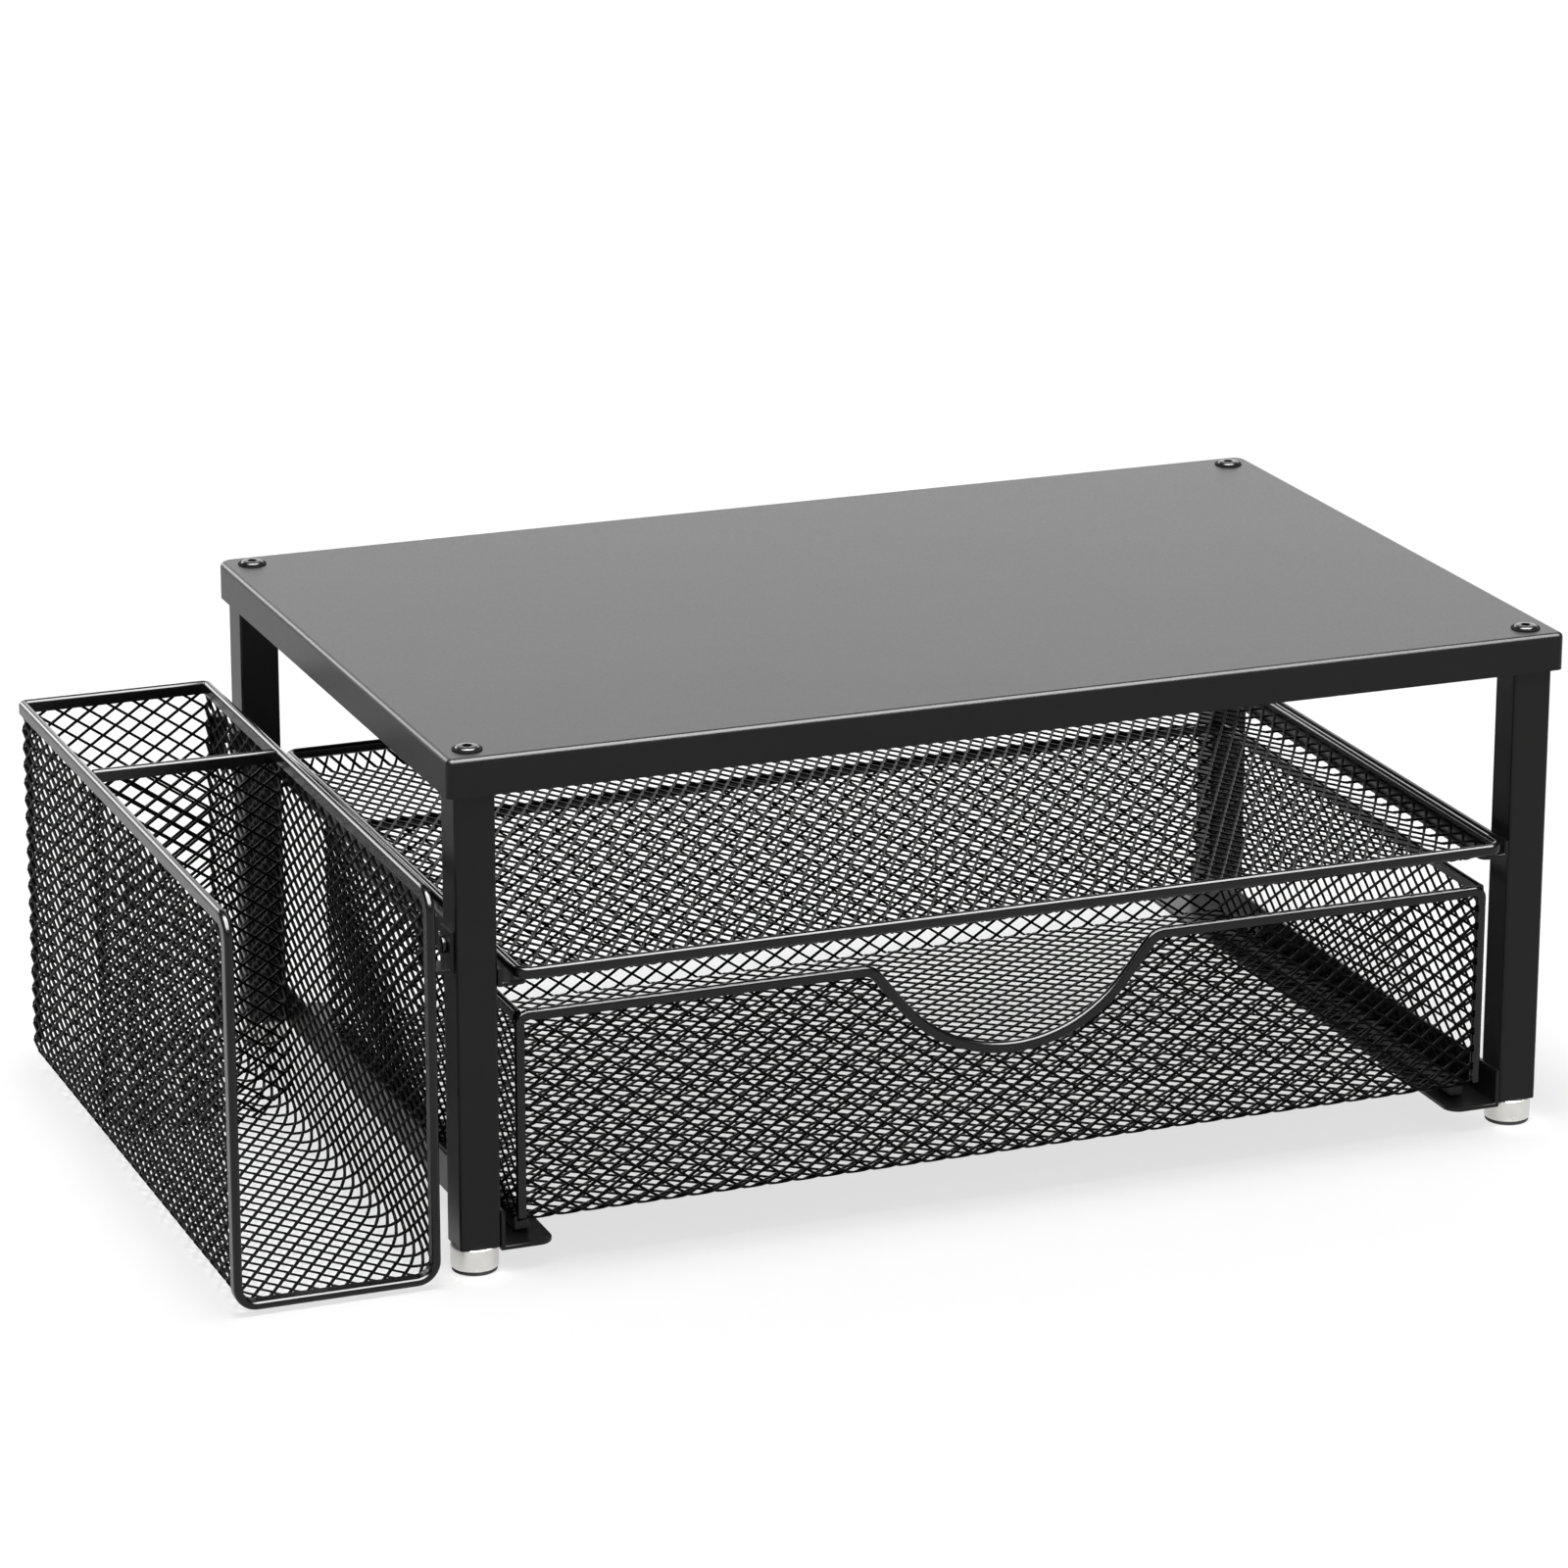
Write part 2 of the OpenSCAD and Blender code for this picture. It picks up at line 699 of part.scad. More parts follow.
module organizer_divider_sheet() {
    bottom = organizer_bottom_z + trim_edge + mesh_t;
    r = sheet_fold_r - mesh_t;
    translate([organizer_left + trim_edge + mesh_t, divider_y + trim_edge, bottom]) along_y(mesh_t)
        plate(organizer_sheet_w - 2 * mesh_t, organizer_sheet_top - bottom, [r, r, 0, 0]);
}

module organizer_left_mesh() { color(mesh_coat) in_place() organizer_side_sheet(); }
module organizer_right_mesh() {
    color(mesh_coat) in_place() across_organizer() organizer_side_sheet();
}
module organizer_floor_mesh() { color(mesh_coat) in_place() organizer_floor_sheet(); }
module organizer_back_mesh() { color(mesh_coat) in_place() organizer_back_sheet(); }
module organizer_divider_mesh() { color(mesh_coat) in_place() organizer_divider_sheet(); }

// Trim along a side wall's top, round the front bend and down the front edge
module organizer_side_trim() {
    length = organizer_d - trim_t;
    height = organizer_top_z - fold_z;
    difference() {
        translate([organizer_left, organizer_front, fold_z]) along_x(trim_t) difference() {
            plate(length, height, [0, 0, 0, trim_top_r]);
            translate([trim_w, -past])
                plate(length, height - trim_w + past, [0, 0, 0, trim_top_r - trim_w]);
        }
        organizer_side_sheet();
        organizer_divider_sheet();
    }
}

// Trim under the open front, with the bends that lead up to the side trims
module organizer_bottom_bar() {
    r = trim_bottom_r;
    h = r + fold_rise;
    difference() {
        translate([organizer_left, organizer_front, organizer_bottom_z]) along_y(trim_w)
            difference() {
                plate(organizer_w, h, [r, r, 0, 0]);
                translate([trim_t, trim_t])
                    plate(organizer_w - 2 * trim_t, h, [r - trim_t, r - trim_t, 0, 0]);
            }
        organizer_floor_sheet();
    }
}

module organizer_back_bar() {
    r = trim_rear_r;
    difference() {
        translate([organizer_left, organizer_rear - trim_t, organizer_top_z - trim_w])
            linear_extrude(trim_w) plate(organizer_w, trim_t, [0, 0, r, r]);
        organizer_back_sheet();
        organizer_side_sheet();
        across_organizer() organizer_side_sheet();
    }
}

module organizer_divider_bar() {
    difference() {
        translate([organizer_left + trim_t, divider_y, organizer_top_z - trim_w])
            cube([organizer_w - 2 * trim_t, trim_t, trim_w]);
        organizer_divider_sheet();
    }
}

module organizer_left_trim() { color(coat) in_place() organizer_side_trim(); }
module organizer_right_trim() {
    color(coat) in_place() across_organizer() organizer_side_trim();
}
module organizer_bottom_trim() { color(coat) in_place() organizer_bottom_bar(); }
module organizer_back_trim() { color(coat) in_place() organizer_back_bar(); }
module organizer_divider_trim() { color(coat) in_place() organizer_divider_bar(); }

// Hooks seen from the front: a plate on the wall, an arm and a lip that points down
module organizer_hooks() {
    color(coat) in_place() for (y = leg_ys)
        translate([0, y - hook_w / 2, 0]) along_y(hook_w) {
            translate([hook_plate_x, hook_top_z - hook_plate_h]) square([hanger_t, hook_plate_h]);
            translate([hook_plate_x, hook_top_z - hanger_t])
                square([hook_lip_x + hanger_t - hook_plate_x, hanger_t]);
            translate([hook_lip_x, hook_top_z - hook_lip_h]) square([hanger_t, hook_lip_h]);
        }
}

top_panel();
leg_front_left();
leg_front_right();
leg_rear_left();
leg_rear_right();
leg_inserts();
panel_screws();
foot_plugs();
foot_studs();
foot_collars();
foot_pads();
upper_rail_left();
upper_rail_right();
lower_rail_left();
lower_rail_right();
hanger_bracket_front();
hanger_bracket_rear();
hanger_screws();
tray_mesh();
tray_rim_front();
tray_rim_back();
tray_rim_left();
tray_rim_right();
drawer_front_mesh();
drawer_floor_mesh();
drawer_back_mesh();
drawer_left_mesh();
drawer_right_mesh();
drawer_front_rim();
drawer_back_rim();
drawer_left_rim();
drawer_right_rim();
drawer_left_runner();
drawer_right_runner();
organizer_left_mesh();
organizer_right_mesh();
organizer_floor_mesh();
organizer_back_mesh();
organizer_divider_mesh();
organizer_left_trim();
organizer_right_trim();
organizer_bottom_trim();
organizer_back_trim();
organizer_divider_trim();
organizer_hooks();
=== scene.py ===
"""A monitor riser stand with a slide-out tray, a mesh drawer and a hook-on organizer, on its CAD frame."""

import math

import bmesh
import bpy
from mathutils import Matrix, Vector


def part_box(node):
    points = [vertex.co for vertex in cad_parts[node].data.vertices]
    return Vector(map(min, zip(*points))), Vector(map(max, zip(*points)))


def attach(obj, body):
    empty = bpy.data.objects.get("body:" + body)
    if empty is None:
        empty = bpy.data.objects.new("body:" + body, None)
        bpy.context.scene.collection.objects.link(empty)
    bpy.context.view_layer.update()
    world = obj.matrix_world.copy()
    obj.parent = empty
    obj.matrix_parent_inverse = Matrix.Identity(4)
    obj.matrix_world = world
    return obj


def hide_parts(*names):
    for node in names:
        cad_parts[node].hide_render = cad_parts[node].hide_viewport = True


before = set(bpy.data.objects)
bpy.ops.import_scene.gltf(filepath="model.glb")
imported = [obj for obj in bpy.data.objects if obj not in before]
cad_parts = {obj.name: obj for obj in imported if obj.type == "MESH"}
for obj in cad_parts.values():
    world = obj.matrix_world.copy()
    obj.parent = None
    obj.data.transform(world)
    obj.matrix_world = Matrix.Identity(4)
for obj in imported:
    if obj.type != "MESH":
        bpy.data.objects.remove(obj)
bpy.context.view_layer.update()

# ---- Legs ----
# Four legs of 14 mm square steel tube, rolled and seam welded, with tight round corners and sawn ends.
# The whole frame is powder coated in satin black, which softens the sawn edges.

MM = 0.001
TUBE_CUT_EDGE = 0.25 * MM
COAT_BLACK = "#121212"
COAT_GREY = "#181817"
COAT_CLOUD = 60 * MM
COAT_SPREAD = 0.04
TOUCHING = 0.001 * MM
SLIVER = 0.01 * MM
NO_BEND = math.radians(0.5)
SHARP_BEND = math.radians(50)


def linear(hex_colour):
    """An sRGB hex colour as linear red, green, blue and alpha."""
    parts = [int(hex_colour[i : i + 2], 16) / 255 for i in (1, 3, 5)]
    return tuple(c / 12.92 if c <= 0.04045 else ((c + 0.055) / 1.055) ** 2.4 for c in parts) + (1.0,)


def add(tree, kind, feeds=None, **settings):
    """Adds a node with its settings. Each socket in feeds takes a value, or a link from another node."""
    made = tree.nodes.new(kind)
    for name, value in settings.items():
        setattr(made, name, value)
    for socket, value in (feeds or {}).items():
        if isinstance(value, bpy.types.NodeSocket):
            tree.links.new(value, made.inputs[socket])
        else:
            made.inputs[socket].default_value = value
    return made


def finish(name):
    """A new material with an empty tree of nodes, and the coordinates that its patterns read, in metres."""
    material = bpy.data.materials.new(name)
    material.use_nodes = True
    tree = material.node_tree
    tree.nodes.clear()
    return material, tree, add(tree, "ShaderNodeTexCoord").outputs["Object"]


def powder_coat(name, colours, peel, grain, height, roughness, shine):
    """Baked polyester powder: the soft waves of its flow, a fine grain, and a sheen the grain breaks up."""
    material, tree, place = finish(name)
    waves = add(
        tree, "ShaderNodeTexNoise", {"Vector": place, "Scale": 1 / peel, "Detail": 2.0, "Roughness": 0.5}
    )
    specks = add(tree, "ShaderNodeTexNoise", {"Vector": place, "Scale": 1 / grain, "Detail": 1.0})
    cloud = add(tree, "ShaderNodeTexNoise", {"Vector": place, "Scale": 1 / COAT_CLOUD, "Detail": 3.0})
    colour = add(tree, "ShaderNodeValToRGB", {"Fac": cloud.outputs["Fac"]})
    for stop, position, hex_colour in zip(colour.color_ramp.elements, (0.35, 0.65), colours):
        stop.position = position
        stop.color = linear(hex_colour)
    rough = add(
        tree,
        "ShaderNodeMapRange",
        {
            "Value": specks.outputs["Fac"],
            "From Min": 0.25,
            "From Max": 0.75,
            "To Min": roughness - COAT_SPREAD,
            "To Max": roughness + COAT_SPREAD,
        },
    )
    flow = add(tree, "ShaderNodeBump", {"Height": waves.outputs["Fac"], "Strength": 0.5, "Distance": height})
    relief = add(
        tree,
        "ShaderNodeBump",
        {
            "Height": specks.outputs["Fac"],
            "Normal": flow.outputs["Normal"],
            "Strength": 0.3,
            "Distance": height / 2,
        },
    )
    shader = add(
        tree,
        "ShaderNodeBsdfPrincipled",
        {
            "Base Color": colour.outputs["Color"],
            "Roughness": rough.outputs["Result"],
            "Normal": relief.outputs["Normal"],
            "IOR": 1.5,
            "Specular IOR Level": shine,
        },
    )
    add(tree, "ShaderNodeOutputMaterial", {"Surface": shader.outputs["BSDF"]})
    return material


def piece(name, bm, material, body, replaced):
    """The finished shape as a piece that rides on its body, in place of its CAD nodes."""
    mesh = bpy.data.meshes.new(name)
    bm.to_mesh(mesh)
    bm.free()
    made = bpy.data.objects.new(name, mesh)
    bpy.context.collection.objects.link(made)
    mesh.materials.append(material)
    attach(made, body)
    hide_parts(*replaced)
    return made


def shade_round(bm, angle=40):
    """Rounded corners run smoothly into each other, and corners sharper than this stay crisp."""
    for face in bm.faces:
        face.smooth = True
    for edge in bm.edges:
        edge.smooth = edge.is_manifold and edge.calc_face_angle(math.pi) < math.radians(angle)


def flatten_flats(made):
    """Keeps the flat faces beside a piece's rounded corners looking flat."""
    made.modifiers.new("Flat faces", "WEIGHTED_NORMAL").keep_sharp = True


def softened(node, radius, segments=3, on_edge=lambda middle: True):
    """A CAD node's shape with its sharp corners taken off."""
    bm = bmesh.new()
    bm.from_mesh(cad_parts[node].data)
    bmesh.ops.remove_doubles(bm, verts=bm.verts, dist=TOUCHING)
    bmesh.ops.dissolve_limit(bm, angle_limit=NO_BEND, verts=bm.verts, edges=bm.edges)
    corners = [
        edge
        for edge in bm.edges
        if edge.is_manifold
        and edge.calc_face_angle(0) > SHARP_BEND
        and on_edge((edge.verts[0].co + edge.verts[1].co) / 2)
    ]
    bmesh.ops.bevel(
        bm,
        geom=corners,
        offset=radius,
        offset_type="OFFSET",
        segments=segments,
        profile=0.5,
        affect="EDGES",
        clamp_overlap=True,
        material=-1,
    )
    bmesh.ops.dissolve_degenerate(bm, dist=SLIVER, edges=bm.edges)
    shade_round(bm)
    return bm


# The grain is drawn coarser than the real powder's, here and on the other coats, so that it shows
frame_coat = powder_coat(
    "satin_black_powder_coat",
    (COAT_BLACK, COAT_GREY),
    peel=1.6 * MM,
    grain=0.45 * MM,
    height=0.012 * MM,
    roughness=0.32,
    shine=0.2,
)

for leg in ("leg_front_left", "leg_front_right", "leg_rear_left", "leg_rear_right"):
    cut = softened(leg, TUBE_CUT_EDGE, 2)
    flatten_flats(piece(leg.replace("leg", "tube"), cut, frame_coat, "riser", [leg]))

# ---- Leg inserts ----
# Square blocks of zinc plated steel pressed into the tops of the legs, threaded for the platform's screws.
# They are out of sight inside the tubes.

ZINC_BRIGHT = "#b4b6b8"
ZINC_DULL = "#8f9296"
PLATING_MARKS = 2.5 * MM
METAL_RELIEF = 0.01 * MM


def zinc_plate(name):
    """Zinc plated steel: bright bluish metal with a faint cloud and fine marks from barrel plating."""
    material, tree, place = finish(name)
    cloud = add(tree, "ShaderNodeTexNoise", {"Vector": place, "Scale": 1 / PLATING_MARKS, "Detail": 4.0})
    colour = add(tree, "ShaderNodeValToRGB", {"Fac": cloud.outputs["Fac"]})
    colour.color_ramp.elements[0].color = linear(ZINC_DULL)
    colour.color_ramp.elements[1].color = linear(ZINC_BRIGHT)
    rough = add(tree, "ShaderNodeMapRange", {"Value": cloud.outputs["Fac"], "To Min": 0.28, "To Max": 0.44})
    relief = add(
        tree, "ShaderNodeBump", {"Height": cloud.outputs["Fac"], "Strength": 0.2, "Distance": METAL_RELIEF}
    )
    shader = add(
        tree,
        "ShaderNodeBsdfPrincipled",
        {
            "Base Color": colour.outputs["Color"],
            "Metallic": 1.0,
            "Roughness": rough.outputs["Result"],
            "Normal": relief.outputs["Normal"],
        },
    )
    add(tree, "ShaderNodeOutputMaterial", {"Surface": shader.outputs["BSDF"]})
    return material


def dress(node, material):
    """Gives a CAD node that stays in view its finish."""
    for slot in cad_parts[node].material_slots:
        slot.material = material


zinc = zinc_plate("zinc_plated_steel")
dress("leg_inserts", zinc)

# ---- Platform ----
# One sheet of 1.2 mm steel, pressed down along its four sides into 13 mm skirts and welded at the corners.
# The press leaves a round bend along the top edge, which catches the light as a thin line.

PRESS_BEND = 1.8 * MM
EDGE_STRIP = 3 * MM

platform_low, platform_high = (Vector(corner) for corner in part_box("top_panel"))


def on_press_bend(middle):
    """True along the top edge of the four skirts, and not at the screw holes."""
    edge_gap = min(*(middle - platform_low).xy, *(platform_high - middle).xy)
    return middle.z > platform_high.z - SLIVER and edge_gap < EDGE_STRIP


pressed = softened("top_panel", PRESS_BEND, 6, on_press_bend)
flatten_flats(piece("platform", pressed, frame_coat, "riser", ["top_panel"]))

# ---- Platform screws ----
# Four button-head machine screws with hexagon sockets, turned from steel and blackened like the platform.
# They pass through the platform into the inserts. Each head sits on a thin washer whose near-black colour
# and faint shine are painted shade, for the dark ring of shade round the head.

SCREW_R = 2.5 * MM
SCREW_HEAD_R = 5 * MM
SCREW_HEAD_H = 1.3 * MM
CROWN_R = 3.9 * MM
CROWN_OUTLINE = ((1, 0), (1, 0.55), (0.95, 0.75), (0.82, 0.92), (0.6, 1))
SOCKET_R = 1.85 * MM
SOCKET_DEPTH = 1.7 * MM
SOCKET_SIDES = 6
SCREW_SIDES = 48
SHANK_SIDES = 24
BLACK_OXIDE = "#101011"
OXIDE_WORN = "#1c1c1d"
OXIDE_MARKS = 0.9 * MM
WASHER_T = 0.45 * MM
WASHER_BEVEL_W = 0.2 * MM
WASHER_BEVEL_H = 0.18 * MM
# The washer's near-black is painted shade: it draws the dark ring of shade round each head
WASHER_PAINTED_SHADE = "#030303"
GRAIN_SHADES = (0.8, 1.2)
GRAIN_SPREAD = 0.08
GRAIN_RELIEF = 0.03 * MM


def blackened_steel(name):
    """Black oxide on turned steel: a dark metal with a soft shine, and fine marks worn a little lighter."""
    material, tree, place = finish(name)
    marks = add(tree, "ShaderNodeTexNoise", {"Vector": place, "Scale": 1 / OXIDE_MARKS, "Detail": 3.0})
    colour = add(tree, "ShaderNodeValToRGB", {"Fac": marks.outputs["Fac"]})
    colour.color_ramp.elements[0].color = linear(BLACK_OXIDE)
    colour.color_ramp.elements[1].color = linear(OXIDE_WORN)
    rough = add(tree, "ShaderNodeMapRange", {"Value": marks.outputs["Fac"], "To Min": 0.2, "To Max": 0.3})
    relief = add(
        tree, "ShaderNodeBump", {"Height": marks.outputs["Fac"], "Strength": 0.2, "Distance": METAL_RELIEF}
    )
    shader = add(
        tree,
        "ShaderNodeBsdfPrincipled",
        {
            "Base Color": colour.outputs["Color"],
            "Roughness": rough.outputs["Result"],
            "Normal": relief.outputs["Normal"],
            "IOR": 1.5,
            "Specular IOR Level": 0.36,
        },
    )
    add(tree, "ShaderNodeOutputMaterial", {"Surface": shader.outputs["BSDF"]})
    return material


def moulded(name, hex_colour, grain, roughness, shine=0.5):
    """A moulded polymer: one colour with a fine moulded grain that spreads its shine."""
    material, tree, place = finish(name)
    specks = add(tree, "ShaderNodeTexNoise", {"Vector": place, "Scale": 1 / grain, "Detail": 2.0})
    colour = add(tree, "ShaderNodeValToRGB", {"Fac": specks.outputs["Fac"]})
    base = linear(hex_colour)[:3]
    for stop, share in zip(colour.color_ramp.elements, GRAIN_SHADES):
        stop.color = tuple(c * share for c in base) + (1.0,)
    rough = add(
        tree,
        "ShaderNodeMapRange",
        {
            "Value": specks.outputs["Fac"],
            "To Min": roughness - GRAIN_SPREAD,
            "To Max": roughness + GRAIN_SPREAD,
        },
    )
    relief = add(
        tree, "ShaderNodeBump", {"Height": specks.outputs["Fac"], "Strength": 0.4, "Distance": GRAIN_RELIEF}
    )
    shader = add(
        tree,
        "ShaderNodeBsdfPrincipled",
        {
            "Base Color": colour.outputs["Color"],
            "Roughness": rough.outputs["Result"],
            "Normal": relief.outputs["Normal"],
            "IOR": 1.49,
            "Specular IOR Level": shine,
        },
    )
    add(tree, "ShaderNodeOutputMaterial", {"Surface": shader.outputs["BSDF"]})
    return material


def run(bm, end, travel):
    """Draws the strip's open end straight on, and returns its new end."""
    made = bmesh.ops.extrude_edge_only(bm, edges=end)["geom"]
    corners = {part for part in made if isinstance(part, bmesh.types.BMVert)}
    bmesh.ops.translate(bm, verts=list(corners), vec=travel)
    edges = [part for part in made if isinstance(part, bmesh.types.BMEdge)]
    return [edge for edge in edges if corners.issuperset(edge.verts)]


def spun(bm, section):
    """Turns a line of (radius, height) points into a round shape about an upright axis."""
    outline = [bm.verts.new((r, 0, z)) for r, z in section]
    for lower, upper in zip(outline, outline[1:]):
        bm.edges.new((lower, upper))
    line = bm.verts[:] + bm.edges[:]
    bmesh.ops.spin(bm, geom=line, axis=(0, 0, 1), angle=math.tau, steps=SCREW_SIDES, use_merge=True)


def at_four_corners(bm, low, high):
    """Sets four copies of one shape on the platform's top, at the screws' places between two corners."""
    bmesh.ops.recalc_face_normals(bm, faces=bm.faces)
    one = bm.verts[:] + bm.edges[:] + bm.faces[:]
    for x in (low.x + SCREW_HEAD_R, high.x - SCREW_HEAD_R):
        for y in (low.y + SCREW_HEAD_R, high.y - SCREW_HEAD_R):
            copied = bmesh.ops.duplicate(bm, geom=one)["geom"]
            corners = [part for part in copied if isinstance(part, bmesh.types.BMVert)]
            bmesh.ops.translate(bm, verts=corners, vec=(x, y, platform_high.z))
    spare = [part for part in one if isinstance(part, bmesh.types.BMVert)]
    bmesh.ops.delete(bm, geom=spare, context="VERTS")
    shade_round(bm, 30)


oxide = blackened_steel("black_oxide_steel")

# The crown, from its foot to its flat top, with the socket sunk into it and the shank below
low, high = (Vector(corner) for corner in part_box("panel_screws"))
bm = bmesh.new()
spun(bm, [(CROWN_R * r, SCREW_HEAD_H * z) for r, z in CROWN_OUTLINE])
mouth = [edge for edge in bm.edges if edge.is_boundary and edge.verts[0].co.z > SCREW_HEAD_H / 2]
socket = bmesh.ops.create_circle(bm, segments=SOCKET_SIDES, radius=SOCKET_R)["verts"]
bmesh.ops.translate(bm, verts=socket, vec=(0, 0, SCREW_HEAD_H))
sides = list({edge for corner in socket for edge in corner.link_edges})
bmesh.ops.subdivide_edges(bm, edges=sides, cuts=SCREW_SIDES // SOCKET_SIDES - 1)
sides = [edge for edge in bm.edges if edge.is_wire]
bmesh.ops.bridge_loops(bm, edges=mouth + sides)
run(bm, sides, (0, 0, -SOCKET_DEPTH))
bmesh.ops.holes_fill(bm, edges=[edge for edge in bm.edges if edge.is_boundary])
reach = platform_high.z - low.z
shank = bmesh.ops.create_cone(
    bm, cap_ends=True, segments=SHANK_SIDES, radius1=SCREW_R, radius2=SCREW_R, depth=reach
)
bmesh.ops.translate(bm, verts=shank["verts"], vec=(0, 0, -reach / 2))
at_four_corners(bm, low, high)
piece("platform_screws", bm, oxide, "riser", ["panel_screws"])

bm = bmesh.new()
spun(
    bm,
    [
        (CROWN_R, 0),
        (SCREW_HEAD_R, 0),
        (SCREW_HEAD_R, WASHER_T - WASHER_BEVEL_H),
        (SCREW_HEAD_R - WASHER_BEVEL_W, WASHER_T),
        (CROWN_R, WASHER_T),
        (CROWN_R, 0),
    ],
)
bmesh.ops.remove_doubles(bm, verts=bm.verts, dist=SLIVER)
at_four_corners(bm, low, high)
# A moulded grain is drawn coarser than real, here and on the feet, so that it shows
# The washer's near-black colour and faint shine are painted shade, for the dark ring round each head
washer_painted_shade = moulded("washer_painted_shade", WASHER_PAINTED_SHADE, grain=0.5 * MM, roughness=0.75, shine=0.05)
piece("screw_washers", bm, washer_painted_shade, "riser", ["panel_screws"])

# ---- Feet ----
# Each leg is closed below by a moulded plug that holds a steel stud, and the stud carries a turned collar
# of satin silver aluminium. A thin rubber pad under the collar stands on the desk.

SILVER = "#d8d7d3"
SILVER_SHADE = "#cbcac6"
SILVER_HAZE = 4 * MM
RING_RADIAN = 0.35 * MM
RADIANS_PER_UNIT = 20
PLUG_BLACK = "#191919"
PAD_BLACK = "#111111"
COLLAR_EDGE = 0.5 * MM
PAD_EDGE = 0.4 * MM


def turned_aluminium(name):
    """Satin aluminium off the lathe: a soft bright metal with a faint haze and fine rings round it."""
    material, tree, place = finish(name)
    rings = add(
        tree,
        "ShaderNodeTexWave",
        {"Vector": place, "Scale": 1 / RING_RADIAN / RADIANS_PER_UNIT, "Distortion": 0.4, "Detail": 1.0},
        bands_direction="Z",
    )
    haze = add(tree, "ShaderNodeTexNoise", {"Vector": place, "Scale": 1 / SILVER_HAZE, "Detail": 3.0})
    colour = add(tree, "ShaderNodeValToRGB", {"Fac": haze.outputs["Fac"]})
    colour.color_ramp.elements[0].color = linear(SILVER_SHADE)
    colour.color_ramp.elements[1].color = linear(SILVER)
    rough = add(tree, "ShaderNodeMapRange", {"Value": haze.outputs["Fac"], "To Min": 0.24, "To Max": 0.34})
    relief = add(
        tree, "ShaderNodeBump", {"Height": rings.outputs["Fac"], "Strength": 0.25, "Distance": METAL_RELIEF}
    )
    shader = add(
        tree,
        "ShaderNodeBsdfPrincipled",
        {
            "Base Color": colour.outputs["Color"],
            "Metallic": 1.0,
            "Roughness": rough.outputs["Result"],
            "Normal": relief.outputs["Normal"],
        },
    )
    add(tree, "ShaderNodeOutputMaterial", {"Surface": shader.outputs["BSDF"]})
    return material


# The lathe's rings are drawn far coarser than real ones, so that they show
satin_silver = turned_aluminium("turned_satin_aluminium")
black_plastic = moulded("moulded_black_plastic", PLUG_BLACK, grain=0.6 * MM, roughness=0.5)
pad_rubber = moulded("moulded_rubber", PAD_BLACK, grain=0.8 * MM, roughness=0.75)
dress("foot_plugs", black_plastic)
dress("foot_studs", zinc)
collars = softened("foot_collars", COLLAR_EDGE)
flatten_flats(piece("foot_rings", collars, satin_silver, "riser", ["foot_collars"]))
pads = softened("foot_pads", PAD_EDGE)
flatten_flats(piece("rubber_pads", pads, pad_rubber, "riser", ["foot_pads"]))

# ---- Rails ----
# Angles folded from 1.5 mm steel and welded to the legs' inner faces, two for the tray and two for the
# drawer. They are coated with the legs, and their sheared edges come out slightly rounded.

SHEARED_EDGE = 0.35 * MM

for rail in ("upper_rail_left", "upper_rail_right", "lower_rail_left", "lower_rail_right"):
    angle = softened(rail, SHEARED_EDGE, 2)
    name = rail.replace("rail", "runner_angle")
    flatten_flats(piece(name, angle, frame_coat, "riser", [rail]))

# ---- Hanger brackets ----
# Two small brackets bent from steel strip, screwed to the outer faces of the left legs.
# Their upturned lips take the organizer's hooks.

STRIP_EDGE = 0.25 * MM
HEAD_EDGE = 0.3 * MM

for bracket in ("hanger_bracket_front", "hanger_bracket_rear"):
    bent = softened(bracket, STRIP_EDGE, 2)
    name = bracket.replace("hanger_", "")
    flatten_flats(piece(name, bent, frame_coat, "riser", [bracket]))
heads = softened("hanger_screws", HEAD_EDGE, 2)
piece("bracket_screws", heads, oxide, "riser", ["hanger_screws"])

# ---- Tray rim ----
# A steel band bent round the tray's four corners and welded into one frame, with its edges rolled round.
# It has a smoother, glossier coat than the platform, so its top edge carries a thin bright line.

TRAY_CORNER_R = 5 * MM
TRAY_RIM_T = 2.8 * MM
ROLLED_EDGE = 1.35 * MM
ROLL_CUTS = 4
CORNER_CUTS = 8
RIM_BLACK = "#090909"
RIM_GREY = "#0f0f0e"
ALONG_X, ALONG_Y, UPRIGHT, DOWN = (1, 0, 0), (0, 1, 0), (0, 0, 1), (0, 0, -1)


def profile(bm, points, rounded):
    """The outline of a strip's cut end, with some of its corners rolled round. Returns its edges."""
    corners = [bm.verts.new(point) for point in points]
    face = bm.faces.new(corners)
    bmesh.ops.bevel(
        bm,
        geom=[corners[i] for i in rounded],
        offset=ROLLED_EDGE,
        offset_type="OFFSET",
        segments=ROLL_CUTS,
        profile=0.5,
        affect="VERTICES",
        material=-1,
    )
    edges = bm.edges[:]
    bmesh.ops.delete(bm, geom=bm.faces[:], context="FACES_ONLY")
    return edges


def turn(bm, end, centre, axis, angle, cuts):
    """Bends the strip's open end round an axis by degrees, in a number of cuts, and returns its new end."""
    geometry = end + list({corner for edge in end for corner in edge.verts})
    made = bmesh.ops.spin(bm, geom=geometry, cent=centre, axis=axis, angle=math.radians(angle), steps=cuts)
    return [part for part in made["geom_last"] if isinstance(part, bmesh.types.BMEdge)]


def close_strip(bm):
    """Joins the strip's seam, or caps its ends, and turns its faces outwards."""
    bmesh.ops.remove_doubles(bm, verts=bm.verts, dist=TOUCHING)
    open_edges = [edge for edge in bm.edges if edge.is_boundary]
    if open_edges:
        bmesh.ops.holes_fill(bm, edges=open_edges)
    bmesh.ops.recalc_face_normals(bm, faces=bm.faces)
    shade_round(bm)


